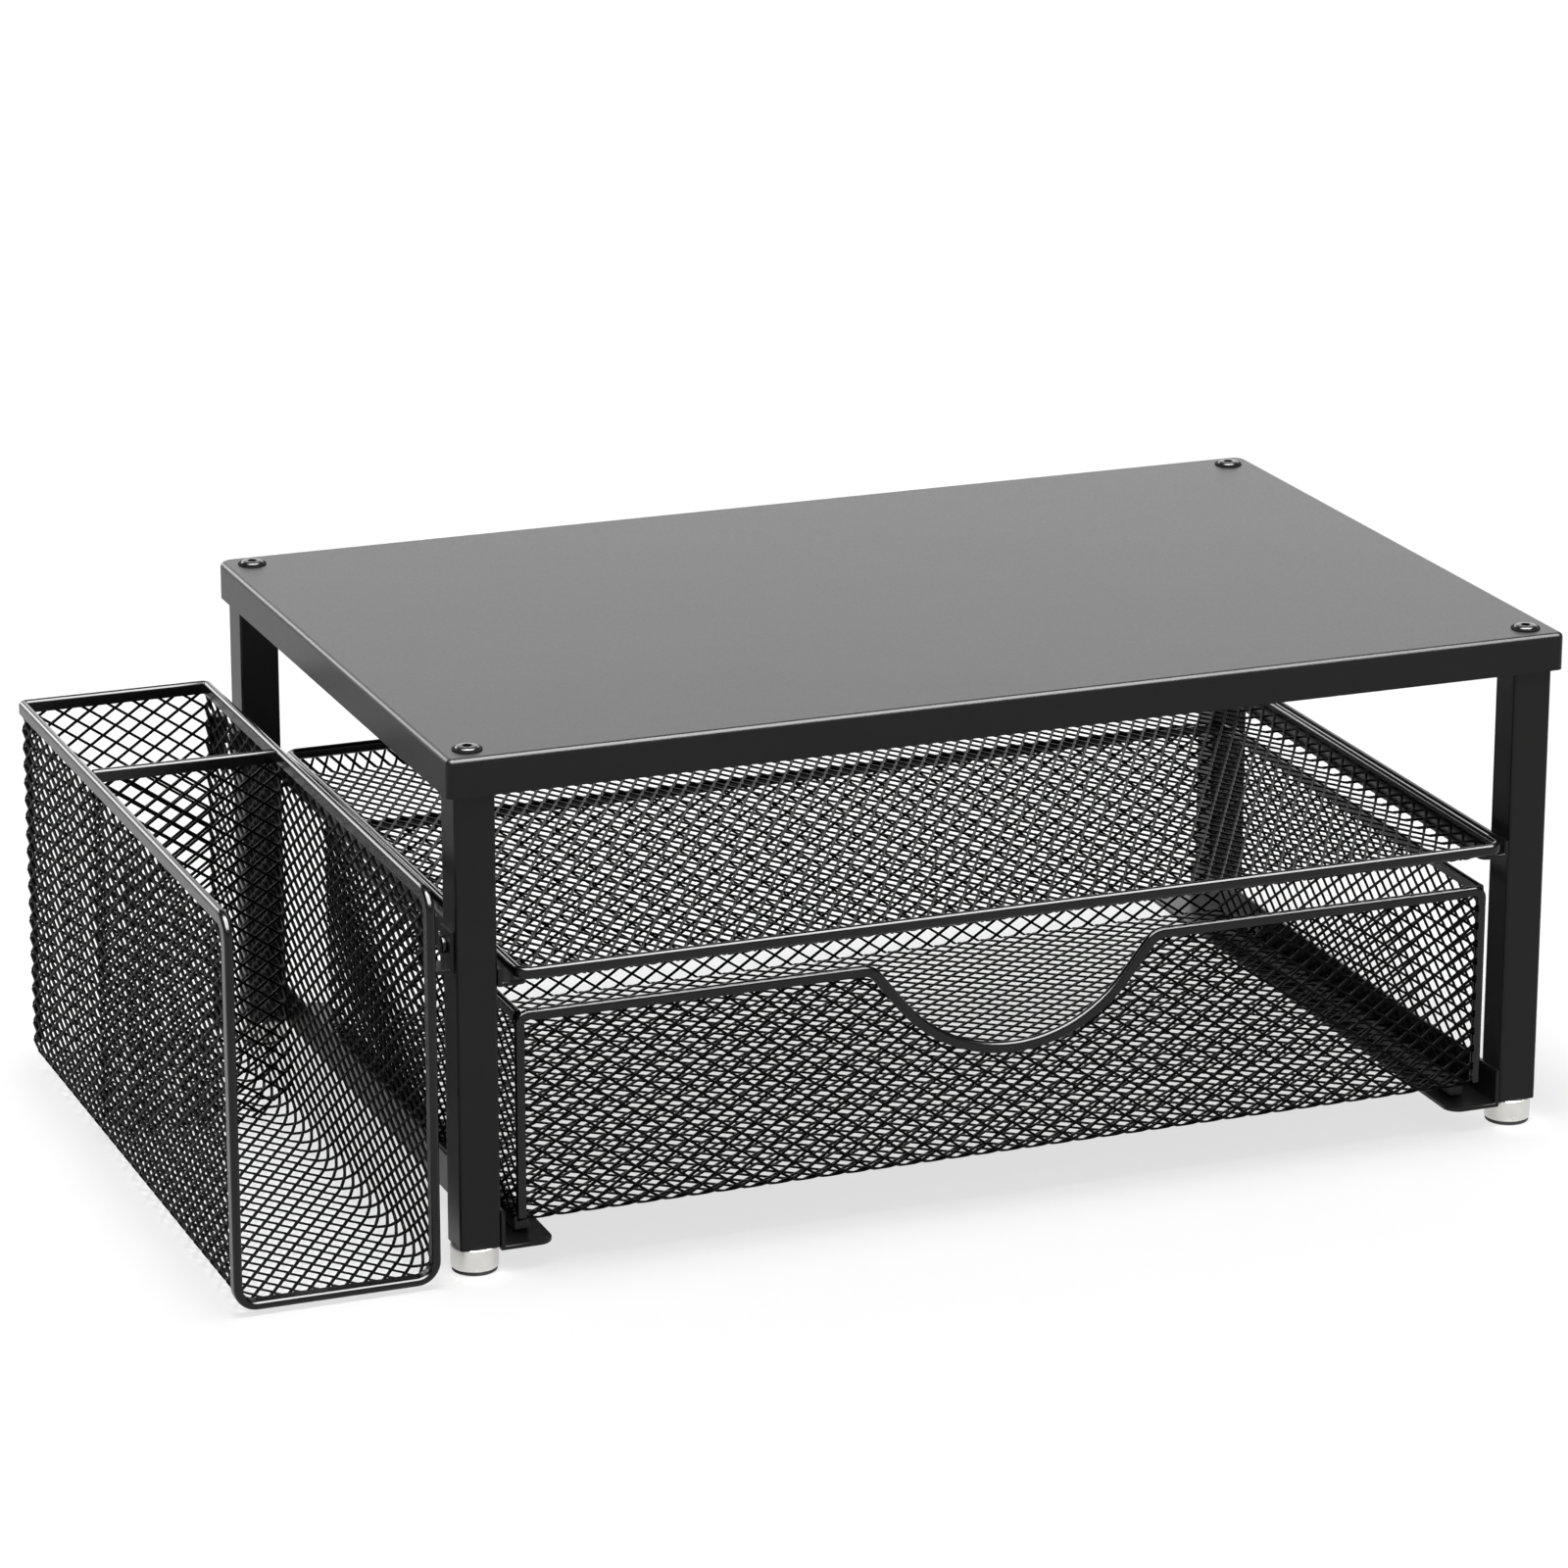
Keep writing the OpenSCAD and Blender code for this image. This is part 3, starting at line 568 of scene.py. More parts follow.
rim_coat = powder_coat(
    "gloss_black_rim_coat",
    (RIM_BLACK, RIM_GREY),
    peel=1.4 * MM,
    grain=0.5 * MM,
    height=0.006 * MM,
    roughness=0.2,
    shine=0.29,
)

low = Vector(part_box("tray_rim_front")[0])
high = Vector(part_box("tray_rim_back")[1])
bm = bmesh.new()
start_y = high.y - TRAY_CORNER_R
end = profile(
    bm,
    [
        (low.x, start_y, high.z),
        (low.x, start_y, low.z),
        (low.x + TRAY_RIM_T, start_y, low.z),
        (low.x + TRAY_RIM_T, start_y, high.z),
    ],
    (0, 1, 2, 3),
)
along = high.y - low.y - 2 * TRAY_CORNER_R
across = high.x - low.x - 2 * TRAY_CORNER_R
corner_xs = (low.x + TRAY_CORNER_R, high.x - TRAY_CORNER_R)
corner_ys = (low.y + TRAY_CORNER_R, high.y - TRAY_CORNER_R)
for travel, centre in (
    ((0, -along, 0), (corner_xs[0], corner_ys[0], 0)),
    ((across, 0, 0), (corner_xs[1], corner_ys[0], 0)),
    ((0, along, 0), (corner_xs[1], corner_ys[1], 0)),
    ((-across, 0, 0), (corner_xs[0], corner_ys[1], 0)),
):
    end = run(bm, end, travel)
    end = turn(bm, end, centre, UPRIGHT, 90, CORNER_CUTS)
close_strip(bm)
runs = [f"tray_rim_{side}" for side in ("front", "back", "left", "right")]
flatten_flats(piece("tray_rim", bm, rim_coat, "tray", runs))

# ---- Tray mesh ----
# One sheet of steel, slit and stretched into diamonds, and pressed into a shallow pan with sloping sides.
# The slits leave every strand slanted, and the black coat rounds the strands and fills their joints.

DIAMOND_LONG = 9.3 * MM
DIAMOND_SHORT = 6.4 * MM
TRAY_DIAMOND_SHORT = 5.4 * MM
STRAND_W = 0.86 * MM
STRAND_T = 0.65 * MM
STRAND_SLANT = 0.12 * MM
MESH_T = 0.8 * MM
TRAY_SLOPE_RUN = 6.5 * MM
TRAY_DROP = 3.7 * MM
MESH_BLACK = "#050505"
MESH_GREY = "#090909"
CUT_LINE = 0.0001 * MM
ROUND_CUTS = (15, 45, 75)


def patch(bm, inside):
    """The parts of the flat sheet whose middles pass a test."""
    faces = [face for face in bm.faces if inside(face.calc_center_median())]
    edges = {edge for face in faces for edge in face.edges}
    corners = {corner for face in faces for corner in face.verts}
    return list(corners) + list(edges) + faces


def cut_off(bm, point, outward, inside=lambda middle: True):
    """Shears off what lies outside a line, on the part of the flat sheet that passes a test."""
    parts = patch(bm, inside)
    bmesh.ops.bisect_plane(bm, geom=parts, dist=CUT_LINE, plane_co=point, plane_no=outward, clear_outer=True)


def score(bm, point, across):
    """Marks a line across the sheet, along which its strands can bend."""
    parts = bm.verts[:] + bm.edges[:] + bm.faces[:]
    bmesh.ops.bisect_plane(bm, geom=parts, dist=CUT_LINE, plane_co=point, plane_no=across)


def expanded_sheet(width, length, long_way="X", stretch=DIAMOND_SHORT, strand=STRAND_W, slant=STRAND_SLANT):
    """A flat sheet of expanded steel about the origin, with its diamonds' long way along X or Y."""
    diamond = (DIAMOND_LONG, stretch) if long_way == "X" else (stretch, DIAMOND_LONG)
    cells = math.ceil(width / diamond[0] + length / diamond[1]) + 1
    bm = bmesh.new()
    bmesh.ops.create_grid(bm, x_segments=cells, y_segments=cells, size=cells / 2)
    bmesh.ops.rotate(bm, verts=bm.verts, cent=(0, 0, 0), matrix=Matrix.Rotation(math.pi / 4, 3, "Z"))
    bmesh.ops.scale(bm, verts=bm.verts, vec=(diamond[0] / math.sqrt(2), diamond[1] / math.sqrt(2), 1))
    reach = Vector((width / 2, length / 2)) + Vector(diamond)
    spare = [
        face
        for face in bm.faces
        if abs(face.calc_center_median().x) > reach.x or abs(face.calc_center_median().y) > reach.y
    ]
    bmesh.ops.delete(bm, geom=spare, context="FACES")
    openings = bm.faces[:]
    bmesh.ops.inset_individual(bm, faces=openings, thickness=strand / 2, use_even_offset=True)
    short = 1 if long_way == "X" else 0
    for opening in openings:
        middle = opening.calc_center_median()[short]
        for corner in opening.verts:
            corner.co.z += slant * (corner.co[short] - middle) / (diamond[short] / 2)
    bmesh.ops.delete(bm, geom=openings, context="FACES_ONLY")
    for outward in (Vector((1, 0, 0)), Vector((0, 1, 0))):
        span = width if outward.x else length
        cut_off(bm, outward * span / 2, outward)
        cut_off(bm, -outward * span / 2, -outward)
    return bm


def round_off(bm, corner, inward, radius, inside=lambda middle: True):
    """Shears a corner of the sheet round, in three cuts."""
    centre = Vector(corner) + Vector(inward) * radius
    for degrees in ROUND_CUTS:
        angle = math.radians(degrees)
        outward = Vector((-inward[0] * math.cos(angle), -inward[1] * math.sin(angle), 0))
        cut_off(bm, centre + outward * radius, outward, inside)


def drop_scraps(bm):
    """Lets the loose bits of strand fall that the shears leave beside the sheet."""
    islands = []
    unseen = set(bm.faces)
    for face in bm.faces:
        if face not in unseen:
            continue
        unseen.discard(face)
        island = [face]
        for reached in island:
            fresh = {other for edge in reached.edges for other in edge.link_faces} & unseen
            unseen -= fresh
            island.extend(fresh)
        islands.append(island)
    scraps = sorted(islands, key=len)[:-1]
    bmesh.ops.delete(bm, geom=[face for island in scraps for face in island], context="FACES")


def mesh_piece(name, bm, body, replaced):
    """The shaped sheet as a coated mesh piece, with its strands given their thickness."""
    drop_scraps(bm)
    bmesh.ops.recalc_face_normals(bm, faces=bm.faces)
    for face in bm.faces:
        face.smooth = True
    sheet = piece(name, bm, mesh_coat, body, replaced)
    strands = sheet.modifiers.new("Strand thickness", "SOLIDIFY")
    strands.thickness = STRAND_T
    strands.offset = 0


mesh_coat = powder_coat(
    "black_mesh_coat",
    (MESH_BLACK, MESH_GREY),
    peel=1.2 * MM,
    grain=0.4 * MM,
    height=0.01 * MM,
    roughness=0.36,
    shine=0.04,
)

low, high = (Vector(corner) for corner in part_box("tray_mesh"))
size = high - low
half_w = size.x / 2 - MESH_T / 2
half_d = size.y / 2 - MESH_T / 2
bm = expanded_sheet(2 * half_w, 2 * half_d, "Y", TRAY_DIAMOND_SHORT)
for sign in (-1, 1):
    score(bm, (sign * (half_w - TRAY_SLOPE_RUN), 0, 0), ALONG_X)
    score(bm, (0, sign * (half_d - TRAY_SLOPE_RUN), 0), ALONG_Y)
for corner in bm.verts:
    edge_gap = min(half_w - abs(corner.co.x), half_d - abs(corner.co.y))
    corner.co.z += TRAY_DROP * max(0, 1 - edge_gap / TRAY_SLOPE_RUN)
middle = (low + high) / 2
bmesh.ops.translate(bm, verts=bm.verts, vec=(middle.x, middle.y, low.z + MESH_T / 2))
mesh_piece("tray_pan", bm, "tray", ["tray_mesh"])

# ---- Drawer mesh ----
# The front and the floor are one sheet of expanded steel, folded back at the bottom round a 5 mm bend and
# cut out at the top for the finger dip. The two sides and the back are flat sheets welded along its edges.

DRAWER_FOLD_R = 5 * MM
FOLD_CUTS = 5
DIP_DEPTH = 33.5 * MM
DIP_BOTTOM_R = 50 * MM
DIP_SHOULDER_R = 8 * MM
DIP_SLOPE = math.radians(51.5)
SHOULDER_CUTS = 3
BOTTOM_CUTS = 6
DRAWER_RIM_H = 3.6 * MM
DRAWER_RIM_T = 2.8 * MM
DRAWER_POST_W = 3 * MM
DRAWER_CORNER_R = 4.5 * MM
FACING_FRONT = Matrix.Rotation(math.pi / 2, 3, "X")
FACING_SIDE = Matrix(((0, 0, 1), (1, 0, 0), (0, 1, 0)))

dip_side_drop = DIP_DEPTH - (DIP_BOTTOM_R + DIP_SHOULDER_R) * (1 - math.cos(DIP_SLOPE))
dip_half_w = (DIP_BOTTOM_R + DIP_SHOULDER_R) * math.sin(DIP_SLOPE) + dip_side_drop / math.tan(DIP_SLOPE)


def fold_back(bm, start, radius, side):
    """Folds the flat sheet square, away from its outer face, round a bend that starts along Y."""
    bend = radius * math.pi / 2
    for i in range(FOLD_CUTS + 1):
        score(bm, (0, side * (start + bend * i / FOLD_CUTS), 0), ALONG_Y)
    for corner in bm.verts:
        past = side * corner.co.y - start
        if past <= 0:
            continue
        angle = min(past / radius, math.pi / 2)
        beyond = max(0, past - bend)
        out = radius + corner.co.z
        corner.co.y = side * (start + out * math.sin(angle))
        corner.co.z = out * math.cos(angle) - radius - beyond


def stand_up(bm, facing, place):
    """Turns the sheet the way it faces in the finished part, and sets it in its place."""
    bmesh.ops.rotate(bm, verts=bm.verts, cent=(0, 0, 0), matrix=facing)
    bmesh.ops.translate(bm, verts=bm.verts, vec=place)


low, high = (Vector(corner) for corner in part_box("drawer_front_mesh"))
floor_low, floor_high = (Vector(corner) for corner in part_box("drawer_floor_mesh"))
bend_r = DRAWER_FOLD_R - MESH_T / 2
fold_top = low.z + DRAWER_FOLD_R
upright = high.z - fold_top
sheet_length = upright + bend_r * math.pi / 2 + floor_high.y - floor_low.y
sheet_w = high.x - low.x
bm = expanded_sheet(sheet_w, sheet_length)
bmesh.ops.translate(bm, verts=bm.verts, vec=(0, upright - sheet_length / 2, 0))

# The dip's edge, from left to right, a little inside the rim that covers it
edge_in = (DRAWER_RIM_T - MESH_T) / 2
dip_line = [Vector((-dip_half_w, upright, 0))]
r = DIP_SHOULDER_R - edge_in
for i in range(1, SHOULDER_CUTS + 1):
    angle = DIP_SLOPE * i / SHOULDER_CUTS
    y = upright + edge_in - DIP_SHOULDER_R + r * math.cos(angle)
    dip_line.append(Vector((-dip_half_w + r * math.sin(angle), y, 0)))
r = DIP_BOTTOM_R + edge_in
for i in range(-BOTTOM_CUTS, BOTTOM_CUTS + 1):
    angle = DIP_SLOPE * i / BOTTOM_CUTS
    y = upright + edge_in + DIP_BOTTOM_R - DIP_DEPTH - r * math.cos(angle)
    dip_line.append(Vector((r * math.sin(angle), y, 0)))
dip_line += [Vector((-point.x, point.y, 0)) for point in reversed(dip_line[: SHOULDER_CUTS + 1])]
for point in dip_line:
    score(bm, point, ALONG_X)
for left, right in zip(dip_line, dip_line[1:]):
    step = right - left
    cut_off(bm, left, (-step.y, step.x, 0), lambda middle: left.x < middle.x < right.x)
for side in (-1, 1):
    round_off(bm, (side * sheet_w / 2, upright, 0), (-side, -1, 0), DRAWER_CORNER_R - edge_in)
fold_back(bm, 0, bend_r, -1)
stand_up(bm, FACING_FRONT, ((low.x + high.x) / 2, low.y + MESH_T / 2, fold_top))
mesh_piece("drawer_front_and_floor", bm, "drawer", ["drawer_front_mesh", "drawer_floor_mesh"])

for side in ("left", "right"):
    low, high = (Vector(corner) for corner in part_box(f"drawer_{side}_mesh"))
    size = high - low
    bm = expanded_sheet(size.y, size.z)
    round_off(bm, (-size.y / 2, -size.z / 2, 0), (1, 1, 0), DRAWER_FOLD_R)
    stand_up(bm, FACING_SIDE, (low + high) / 2)
    mesh_piece(f"drawer_{side}_side", bm, "drawer", [f"drawer_{side}_mesh"])

low, high = (Vector(corner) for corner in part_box("drawer_back_mesh"))
size = high - low
bm = expanded_sheet(size.x, size.z)
stand_up(bm, FACING_FRONT, (low + high) / 2)
mesh_piece("drawer_back", bm, "drawer", ["drawer_back_mesh"])

# ---- Drawer rims ----
# Channels of folded steel strip, closed over the cut edge of the mesh and spot welded through it. One runs
# up the left post, along the front with its dip and down the right post. The other goes round the sides and
# the back.

CHANNEL_WALL = 1.0 * MM
WIDENING_RUN = 6 * MM
REAR_BEND_R = 3 * MM
SHOULDER_BEND_CUTS = 6
DIP_BEND_CUTS = 24
SMALL_BEND_CUTS = 5


def channel_end(bm, corner, thick, deep, width, height, wall):
    """The cut end of a channel: thick and deep are directions across it and into its slot."""
    corner, thick, deep = Vector(corner), Vector(thick), Vector(deep)
    outline = [
        (0, height),
        (0, 0),
        (width, 0),
        (width, height),
        (width - wall, height),
        (width - wall, wall),
        (wall, wall),
        (wall, height),
    ]
    points = [corner + thick * a + deep * b for a, b in outline]
    return profile(bm, points, (1, 2))


def deepened(bm, end, share, top):
    """Makes the strip's open end a share deeper or shallower, below its top edge."""
    corners = list({corner for edge in end for corner in edge.verts})
    bmesh.ops.scale(bm, verts=corners, vec=(1, 1, share), space=Matrix.Translation((0, 0, -top)))


low, high = (Vector(corner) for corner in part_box("drawer_front_rim"))
middle_x = (low.x + high.x) / 2
r = DRAWER_CORNER_R
slope = math.degrees(DIP_SLOPE)
slope_run = dip_side_drop / math.sin(DIP_SLOPE)
slope_x, slope_z = slope_run * math.cos(DIP_SLOPE), slope_run * math.sin(DIP_SLOPE)
flat_run = middle_x - dip_half_w - low.x - r
shoulder_z = high.z - DIP_SHOULDER_R
bm = bmesh.new()
end = channel_end(bm, (low.x, low.y, low.z), ALONG_Y, ALONG_X, DRAWER_RIM_T, DRAWER_POST_W, CHANNEL_WALL)
end = run(bm, end, (0, 0, high.z - low.z - r))
end = turn(bm, end, (low.x + r, 0, high.z - r), ALONG_Y, 90, CORNER_CUTS)
end = run(bm, end, (WIDENING_RUN, 0, 0))
deepened(bm, end, DRAWER_RIM_H / DRAWER_POST_W, high.z)
end = run(bm, end, (flat_run - WIDENING_RUN, 0, 0))
end = turn(bm, end, (middle_x - dip_half_w, 0, shoulder_z), ALONG_Y, slope, SHOULDER_BEND_CUTS)
end = run(bm, end, (slope_x, 0, -slope_z))
end = turn(bm, end, (middle_x, 0, high.z - DIP_DEPTH + DIP_BOTTOM_R), ALONG_Y, -2 * slope, DIP_BEND_CUTS)
end = run(bm, end, (slope_x, 0, slope_z))
end = turn(bm, end, (middle_x + dip_half_w, 0, shoulder_z), ALONG_Y, slope, SHOULDER_BEND_CUTS)
end = run(bm, end, (flat_run - WIDENING_RUN, 0, 0))
end = run(bm, end, (WIDENING_RUN, 0, 0))
deepened(bm, end, DRAWER_POST_W / DRAWER_RIM_H, high.z)
end = turn(bm, end, (high.x - r, 0, high.z - r), ALONG_Y, 90, CORNER_CUTS)
run(bm, end, (0, 0, low.z - high.z + r))
close_strip(bm)
flatten_flats(piece("drawer_front_channel", bm, rim_coat, "drawer", ["drawer_front_rim"]))

low = Vector(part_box("drawer_left_rim")[0])
high = Vector(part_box("drawer_back_rim")[1])
bm = bmesh.new()
end = channel_end(bm, (low.x, low.y, high.z), ALONG_X, DOWN, DRAWER_RIM_T, high.z - low.z, CHANNEL_WALL)
along = high.y - low.y - REAR_BEND_R
end = run(bm, end, (0, along, 0))
end = turn(bm, end, (low.x + REAR_BEND_R, high.y - REAR_BEND_R, 0), UPRIGHT, -90, SMALL_BEND_CUTS)
end = run(bm, end, (high.x - low.x - 2 * REAR_BEND_R, 0, 0))
end = turn(bm, end, (high.x - REAR_BEND_R, high.y - REAR_BEND_R, 0), UPRIGHT, -90, SMALL_BEND_CUTS)
run(bm, end, (0, -along, 0))
close_strip(bm)
runs = [f"drawer_{side}_rim" for side in ("left", "back", "right")]
flatten_flats(piece("drawer_side_and_back_channel", bm, rim_coat, "drawer", runs))

# ---- Drawer runners ----
# Two strips of moulded black plastic, clipped under the drawer's floor at its sides.
# They slide on the lower rails and keep the mesh off them.

RUNNER_EDGE = 0.6 * MM

for side in ("left", "right"):
    strip = softened(f"drawer_{side}_runner", RUNNER_EDGE)
    replaced = [f"drawer_{side}_runner"]
    flatten_flats(piece(f"glide_{side}", strip, black_plastic, "drawer", replaced))

# ---- Organizer mesh ----
# One sheet of expanded steel, folded up round two bends into the floor and the side walls. Its strands slant
# more than the other sheets', like louvres. The back and the divider are welded in by narrow flanges.

ORGANIZER_FOLD_R = 8 * MM
ORGANIZER_TRIM_T = 3 * MM
WALL_STRAND_W = 0.88 * MM
WALL_STRAND_SLANT = -0.36 * MM
TRIM_TOP_R = 9 * MM
SEAM_FLANGE = 6.5 * MM
SEAM_BEND_R = 1.2 * MM
SEAM_SLACK = 1 * MM
FLOOR_DOWN = Matrix(((0, 1, 0), (1, 0, 0), (0, 0, -1)))
FOOT_DOWN = Matrix(((0, 1, 0), (0, 0, 1), (1, 0, 0)))

wall_low, wall_high = (Vector(corner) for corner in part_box("organizer_left_mesh"))
low = Vector(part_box("organizer_floor_mesh")[0])
high = Vector(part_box("organizer_right_mesh")[1])
edge_in = (ORGANIZER_TRIM_T - MESH_T) / 2
outer_r = ORGANIZER_FOLD_R - edge_in
bend_r = outer_r - MESH_T / 2
half_floor = (high.x - low.x) / 2 - outer_r
wall = high.z - low.z - outer_r
half_wrap = half_floor + bend_r * math.pi / 2 + wall
depth = wall_high.y - wall_low.y
bm = expanded_sheet(depth, 2 * half_wrap, strand=WALL_STRAND_W, slant=WALL_STRAND_SLANT)
for side in (-1, 1):
    round_off(bm, (-depth / 2, side * half_wrap, 0), (1, -side, 0), TRIM_TOP_R - edge_in)
for side in (-1, 1):
    fold_back(bm, half_floor, bend_r, side)
stand_up(bm, FLOOR_DOWN, ((low.x + high.x) / 2, (wall_low.y + wall_high.y) / 2, low.z + MESH_T / 2))
panels = [f"organizer_{panel}_mesh" for panel in ("left", "floor", "right")]
mesh_piece("organizer_wrap", bm, "organizer", panels)

seam_r = SEAM_BEND_R - MESH_T / 2
for node in ("organizer_back_mesh", "organizer_divider_mesh"):
    low, high = (Vector(corner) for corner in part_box(node))
    size = high - low
    half_inner = (low.x + high.x) / 2 - wall_low.x - MESH_T
    half_flat = half_inner - SEAM_BEND_R
    half_bent = half_flat + seam_r * math.pi / 2 + SEAM_FLANGE
    foot_line = -size.z / 2 + outer_r
    bm = expanded_sheet(size.z, 2 * half_bent, "Y")
    for side in (-1, 1):
        score(bm, (0, side * half_flat, 0), ALONG_Y)
        cut_off(bm, (foot_line, 0, 0), (-1, 0, 0), lambda middle: side * middle.y > half_flat)
        round_off(
            bm,
            (-size.z / 2, side * half_inner, 0),
            (1, -side, 0),
            outer_r - MESH_T,
            lambda middle: side * middle.y < half_flat and middle.x < foot_line + SEAM_SLACK,
        )
        fold_back(bm, half_flat, seam_r, side)
    stand_up(bm, FOOT_DOWN, (low + high) / 2)
    mesh_piece(node.replace("_mesh", "_sheet"), bm, "organizer", [node])

# ---- Organizer trim ----
# A folded steel channel closed over the mesh's edge. It runs along the left wall's top, round and down the
# open front, under the mouth, up and back along the right wall, and across the back. A bar caps the divider.

TRIM_W = 4.4 * MM
TRIM_WALL = 1.1 * MM
REAR_TURN_R = 3.05 * MM
TRIM_BEND_CUTS = 12

left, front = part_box("organizer_left_trim")[0][:2]
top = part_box("organizer_left_trim")[1][2]
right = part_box("organizer_right_trim")[1][0]
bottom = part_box("organizer_bottom_trim")[0][2]
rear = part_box("organizer_back_trim")[1][1]
bend_y, bend_z = front + TRIM_TOP_R, top - TRIM_TOP_R
fold_z = bottom + ORGANIZER_FOLD_R
rear_y = rear - REAR_TURN_R
bm = bmesh.new()
end = channel_end(bm, (left, rear_y, top), ALONG_X, DOWN, ORGANIZER_TRIM_T, TRIM_W, TRIM_WALL)
end = run(bm, end, (0, bend_y - rear_y, 0))
end = turn(bm, end, (0, bend_y, bend_z), ALONG_X, 90, TRIM_BEND_CUTS)
end = run(bm, end, (0, 0, fold_z - bend_z))
end = turn(bm, end, (left + ORGANIZER_FOLD_R, 0, fold_z), ALONG_Y, -90, TRIM_BEND_CUTS)
end = run(bm, end, (right - left - 2 * ORGANIZER_FOLD_R, 0, 0))
end = turn(bm, end, (right - ORGANIZER_FOLD_R, 0, fold_z), ALONG_Y, -90, TRIM_BEND_CUTS)
end = run(bm, end, (0, 0, bend_z - fold_z))
end = turn(bm, end, (0, bend_y, bend_z), ALONG_X, -90, TRIM_BEND_CUTS)
end = run(bm, end, (0, rear_y - bend_y, 0))
end = turn(bm, end, (right - REAR_TURN_R, rear_y, 0), UPRIGHT, 90, SMALL_BEND_CUTS)
end = run(bm, end, (left - right + 2 * REAR_TURN_R, 0, 0))
turn(bm, end, (left + REAR_TURN_R, rear_y, 0), UPRIGHT, 90, SMALL_BEND_CUTS)
close_strip(bm)
runs = [f"organizer_{side}_trim" for side in ("left", "right", "bottom", "back")]
flatten_flats(piece("organizer_trim", bm, rim_coat, "organizer", runs))

low, high = (Vector(corner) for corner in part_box("organizer_divider_trim"))
bm = bmesh.new()
end = channel_end(bm, (low.x, low.y, high.z), ALONG_Y, DOWN, high.y - low.y, high.z - low.z, TRIM_WALL)
run(bm, end, (high.x - low.x, 0, 0))
close_strip(bm)
flatten_flats(piece("divider_bar", bm, rim_coat, "organizer", ["organizer_divider_trim"]))

# ---- Organizer hooks ----
# Two hooks bent from steel strip, welded to the organizer's right wall and coated satin black like the
# legs. They drop over the lips of the brackets and carry the whole organizer.

bent = softened("organizer_hooks", STRIP_EDGE, 2)
flatten_flats(piece("hooks", bent, frame_coat, "organizer", ["organizer_hooks"]))

# ---- Studio ----
# A white sweep on the floor that runs out to pure white, in a white surround. Soft boxes overhead and behind
# light the whole part, and two more show only as glints on its glossy coats.

FLOOR_HALF = 12.0
FLOOR_WHITE = "#a2a2a2"
FLOOR_GREY = "#9e9e9e"
FLOOR_GRAIN = 25 * MM
FLOOR_TOP_UP = 0.7
FADE_START = 1.2
FADE_END = 2.6
WHITE = (1, 1, 1, 1)
CAMERA_PLACE = (-0.75335, -1.9104, 0.7689)
CAMERA_YAW, CAMERA_PITCH, CAMERA_ROLL = math.radians(21.58), math.radians(-17.68), math.radians(-0.08)
LENS = 142.57
SENSOR_WIDTH = 36

bm = bmesh.new()
bmesh.ops.create_grid(bm, x_segments=1, y_segments=1, size=FLOOR_HALF)
mesh = bpy.data.meshes.new("floor")
bm.to_mesh(mesh)
bm.free()
floor = bpy.data.objects.new("floor", mesh)
bpy.context.collection.objects.link(floor)

# The sweep: a matt white that takes the shadow, with a top-up of light that grows with the distance
material, tree, place = finish("white_sweep")
mesh.materials.append(material)
grain = add(tree, "ShaderNodeTexNoise", {"Vector": place, "Scale": 1 / FLOOR_GRAIN, "Detail": 2.0})
tone = add(tree, "ShaderNodeValToRGB", {"Fac": grain.outputs["Fac"]})
tone.color_ramp.elements[0].color = linear(FLOOR_GREY)
tone.color_ramp.elements[1].color = linear(FLOOR_WHITE)
matt = add(tree, "ShaderNodeBsdfDiffuse", {"Color": tone.outputs["Color"]})
ray = add(tree, "ShaderNodeLightPath").outputs
straight = add(
    tree, "ShaderNodeMath", {0: ray["Is Camera Ray"], 1: ray["Is Glossy Ray"]}, operation="MAXIMUM"
)
seen = add(
    tree, "ShaderNodeMath", {0: straight.outputs[0], 1: ray["Is Transmission Ray"]}, operation="MAXIMUM"
)
far = add(tree, "ShaderNodeVectorMath", {0: place}, operation="LENGTH")
top_up = add(
    tree,
    "ShaderNodeMapRange",
    {
        "Value": far.outputs["Value"],
        "From Min": FADE_START,
        "From Max": FADE_END,
        "To Min": FLOOR_TOP_UP,
        "To Max": 1.0,
    },
)
strength = add(
    tree, "ShaderNodeMath", {0: seen.outputs[0], 1: top_up.outputs["Result"]}, operation="MULTIPLY"
)
lift = add(tree, "ShaderNodeEmission", {"Color": WHITE, "Strength": strength.outputs[0]})
both = add(tree, "ShaderNodeAddShader", {0: matt.outputs[0], 1: lift.outputs[0]})
add(tree, "ShaderNodeOutputMaterial", {"Surface": both.outputs[0]})

# The surround: pure white to the camera. It lights the part mostly from behind, and glossy coats mirror a
# bright horizon that darkens overhead.
world = bpy.data.worlds.new("studio")
bpy.context.scene.world = world
world.use_nodes = True
tree = world.node_tree
tree.nodes.clear()
direction = add(tree, "ShaderNodeTexCoord").outputs["Generated"]
parts = add(tree, "ShaderNodeSeparateXYZ", {"Vector": direction})
behind = add(
    tree,
    "ShaderNodeMapRange",
    {"Value": parts.outputs["Y"], "From Min": -0.1, "From Max": 0.5, "To Min": 0.2, "To Max": 0.7},
)
above = add(
    tree,
    "ShaderNodeMapRange",
    {"Value": parts.outputs["Z"], "From Min": 0.12, "From Max": 0.35, "To Min": 1.0, "To Max": 0.12},
)
room = add(tree, "ShaderNodeBackground", {"Color": WHITE, "Strength": behind.outputs["Result"]})
horizon = add(tree, "ShaderNodeBackground", {"Color": WHITE, "Strength": above.outputs["Result"]})
backdrop = add(tree, "ShaderNodeBackground", {"Color": WHITE, "Strength": 1.0})
ray = add(tree, "ShaderNodeLightPath").outputs
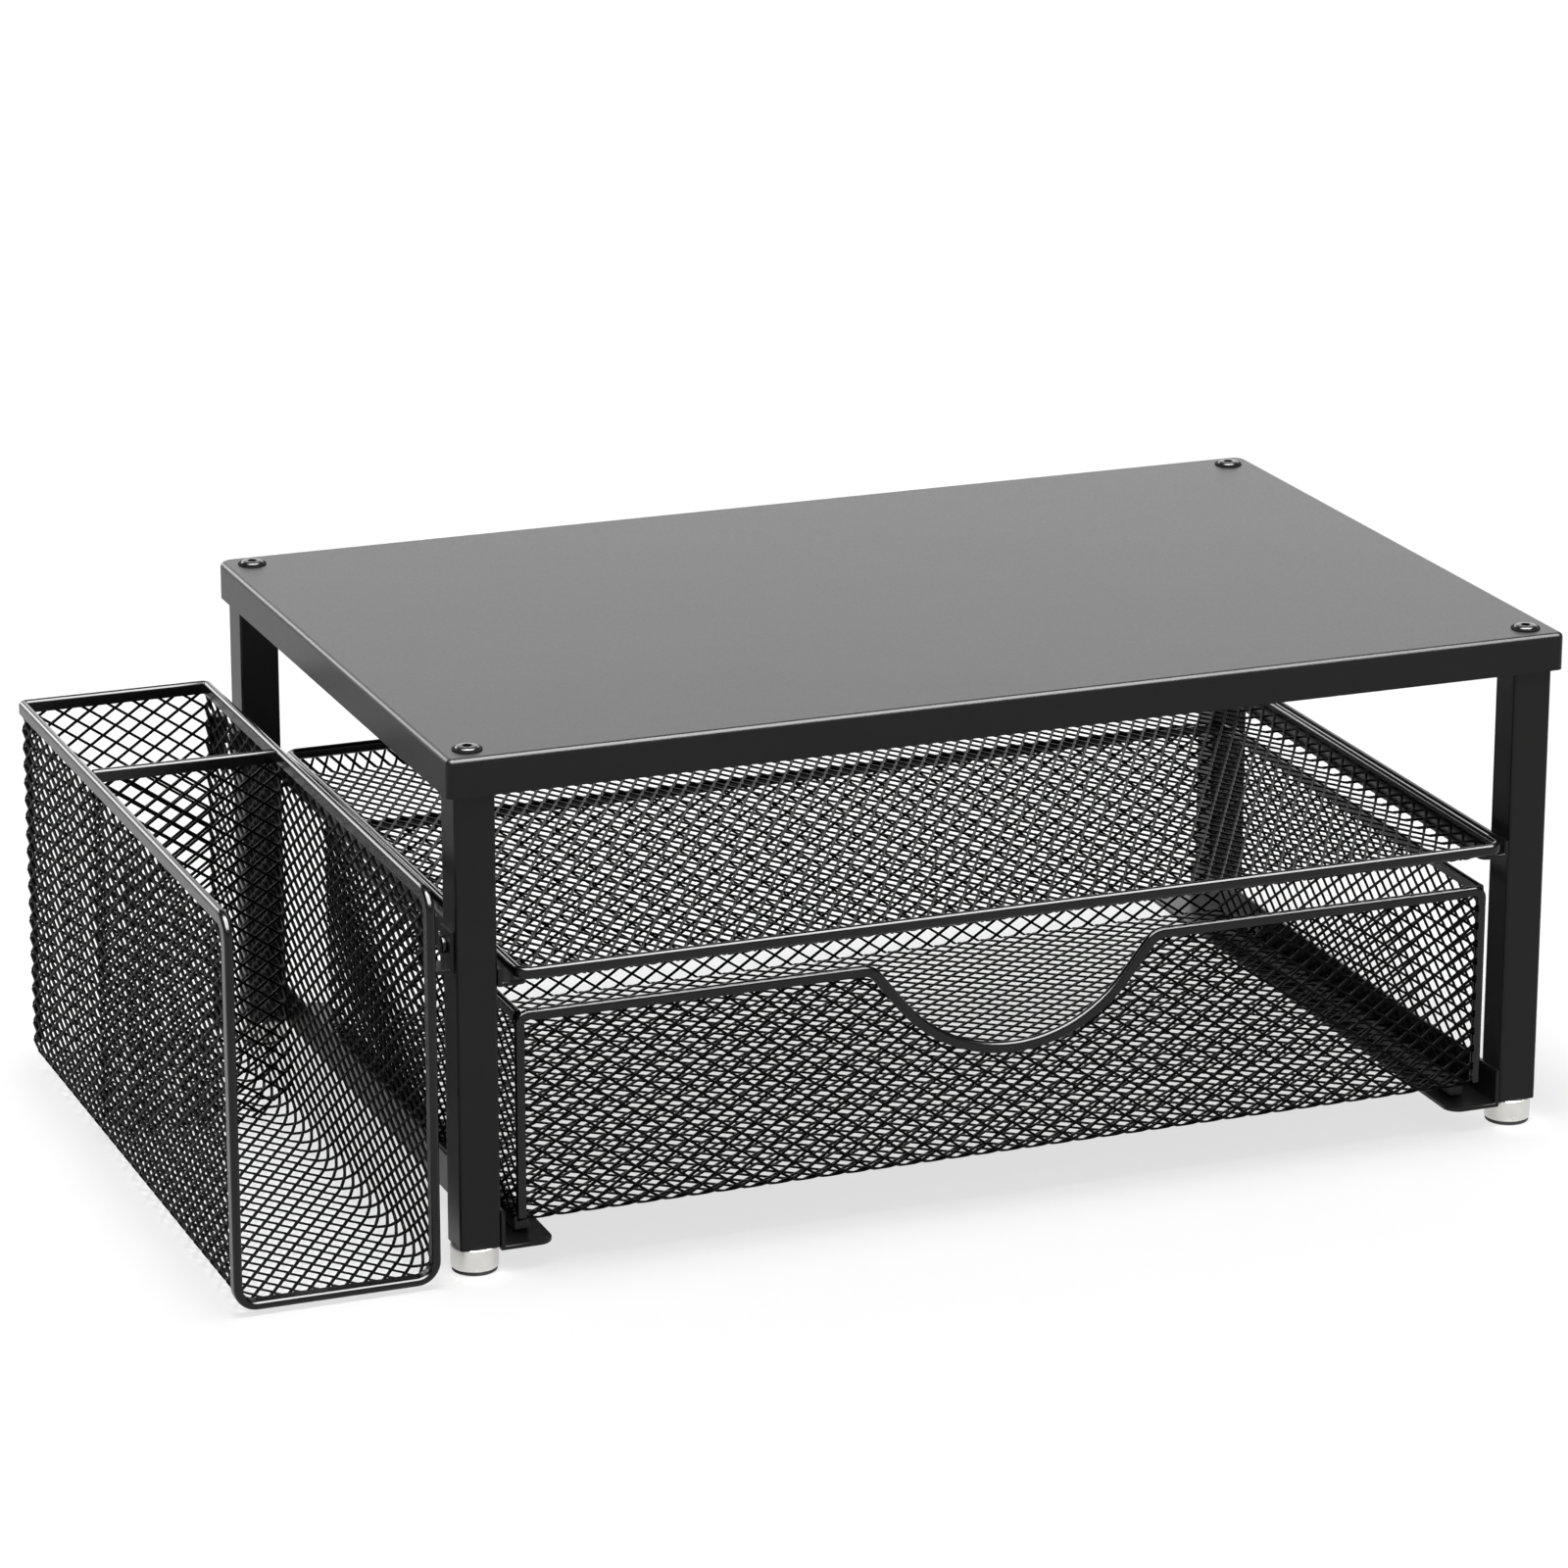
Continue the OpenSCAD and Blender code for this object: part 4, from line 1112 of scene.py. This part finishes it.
mirrored = add(
    tree, "ShaderNodeMath", {0: ray["Is Glossy Ray"], 1: ray["Is Transmission Ray"]}, operation="MAXIMUM"
)
unseen = add(
    tree, "ShaderNodeMixShader", {0: mirrored.outputs[0], 1: room.outputs[0], 2: horizon.outputs[0]}
)
shown = add(
    tree, "ShaderNodeMixShader", {0: ray["Is Camera Ray"], 1: unseen.outputs[0], 2: backdrop.outputs[0]}
)
add(tree, "ShaderNodeOutputWorld", {"Surface": shown.outputs[0]})


def soft_box(name, place, aim, size, watts, lights_all=True):
    """A soft box that faces a point. One that doesn't light all shows only as a glint on glossy coats."""
    light = bpy.data.lights.new(name, "AREA")
    light.shape = "RECTANGLE"
    light.size, light.size_y = size
    light.energy = watts
    holder = bpy.data.objects.new(name, light)
    holder.location = place
    holder.rotation_euler = (Vector(aim) - Vector(place)).to_track_quat("-Z", "Y").to_euler()
    holder.visible_camera = False
    holder.visible_diffuse = lights_all
    bpy.context.collection.objects.link(holder)


soft_box("overhead", (-0.15, -0.1, 2.2), (0, 0, 0.1), size=(0.6, 0.6), watts=30)
soft_box("back_wall", (1.4, 3.6, 1.35), (0, 0, 0.15), size=(5.0, 2.4), watts=55)
soft_box("glint_above", (0, -0.85, 2.25), (0, 0, 0.1), size=(3.2, 2.5), watts=850, lights_all=False)
soft_box("glint_behind", (-1.25, 3.2, 1.35), (0, 0.1, 0.12), size=(1.6, 1.2), watts=48, lights_all=False)

lens = bpy.data.cameras.new("camera")
lens.lens = LENS
lens.sensor_width = SENSOR_WIDTH
camera = bpy.data.objects.new("camera", lens)
camera.location = CAMERA_PLACE
yaw = Matrix.Rotation(-CAMERA_YAW, 4, "Z")
pitch = Matrix.Rotation(math.pi / 2 + CAMERA_PITCH, 4, "X")
roll = Matrix.Rotation(-CAMERA_ROLL, 4, "Z")
camera.rotation_euler = (yaw @ pitch @ roll).to_euler()
bpy.context.collection.objects.link(camera)
bpy.context.scene.camera = camera
bpy.context.scene.view_settings.view_transform = "Standard"
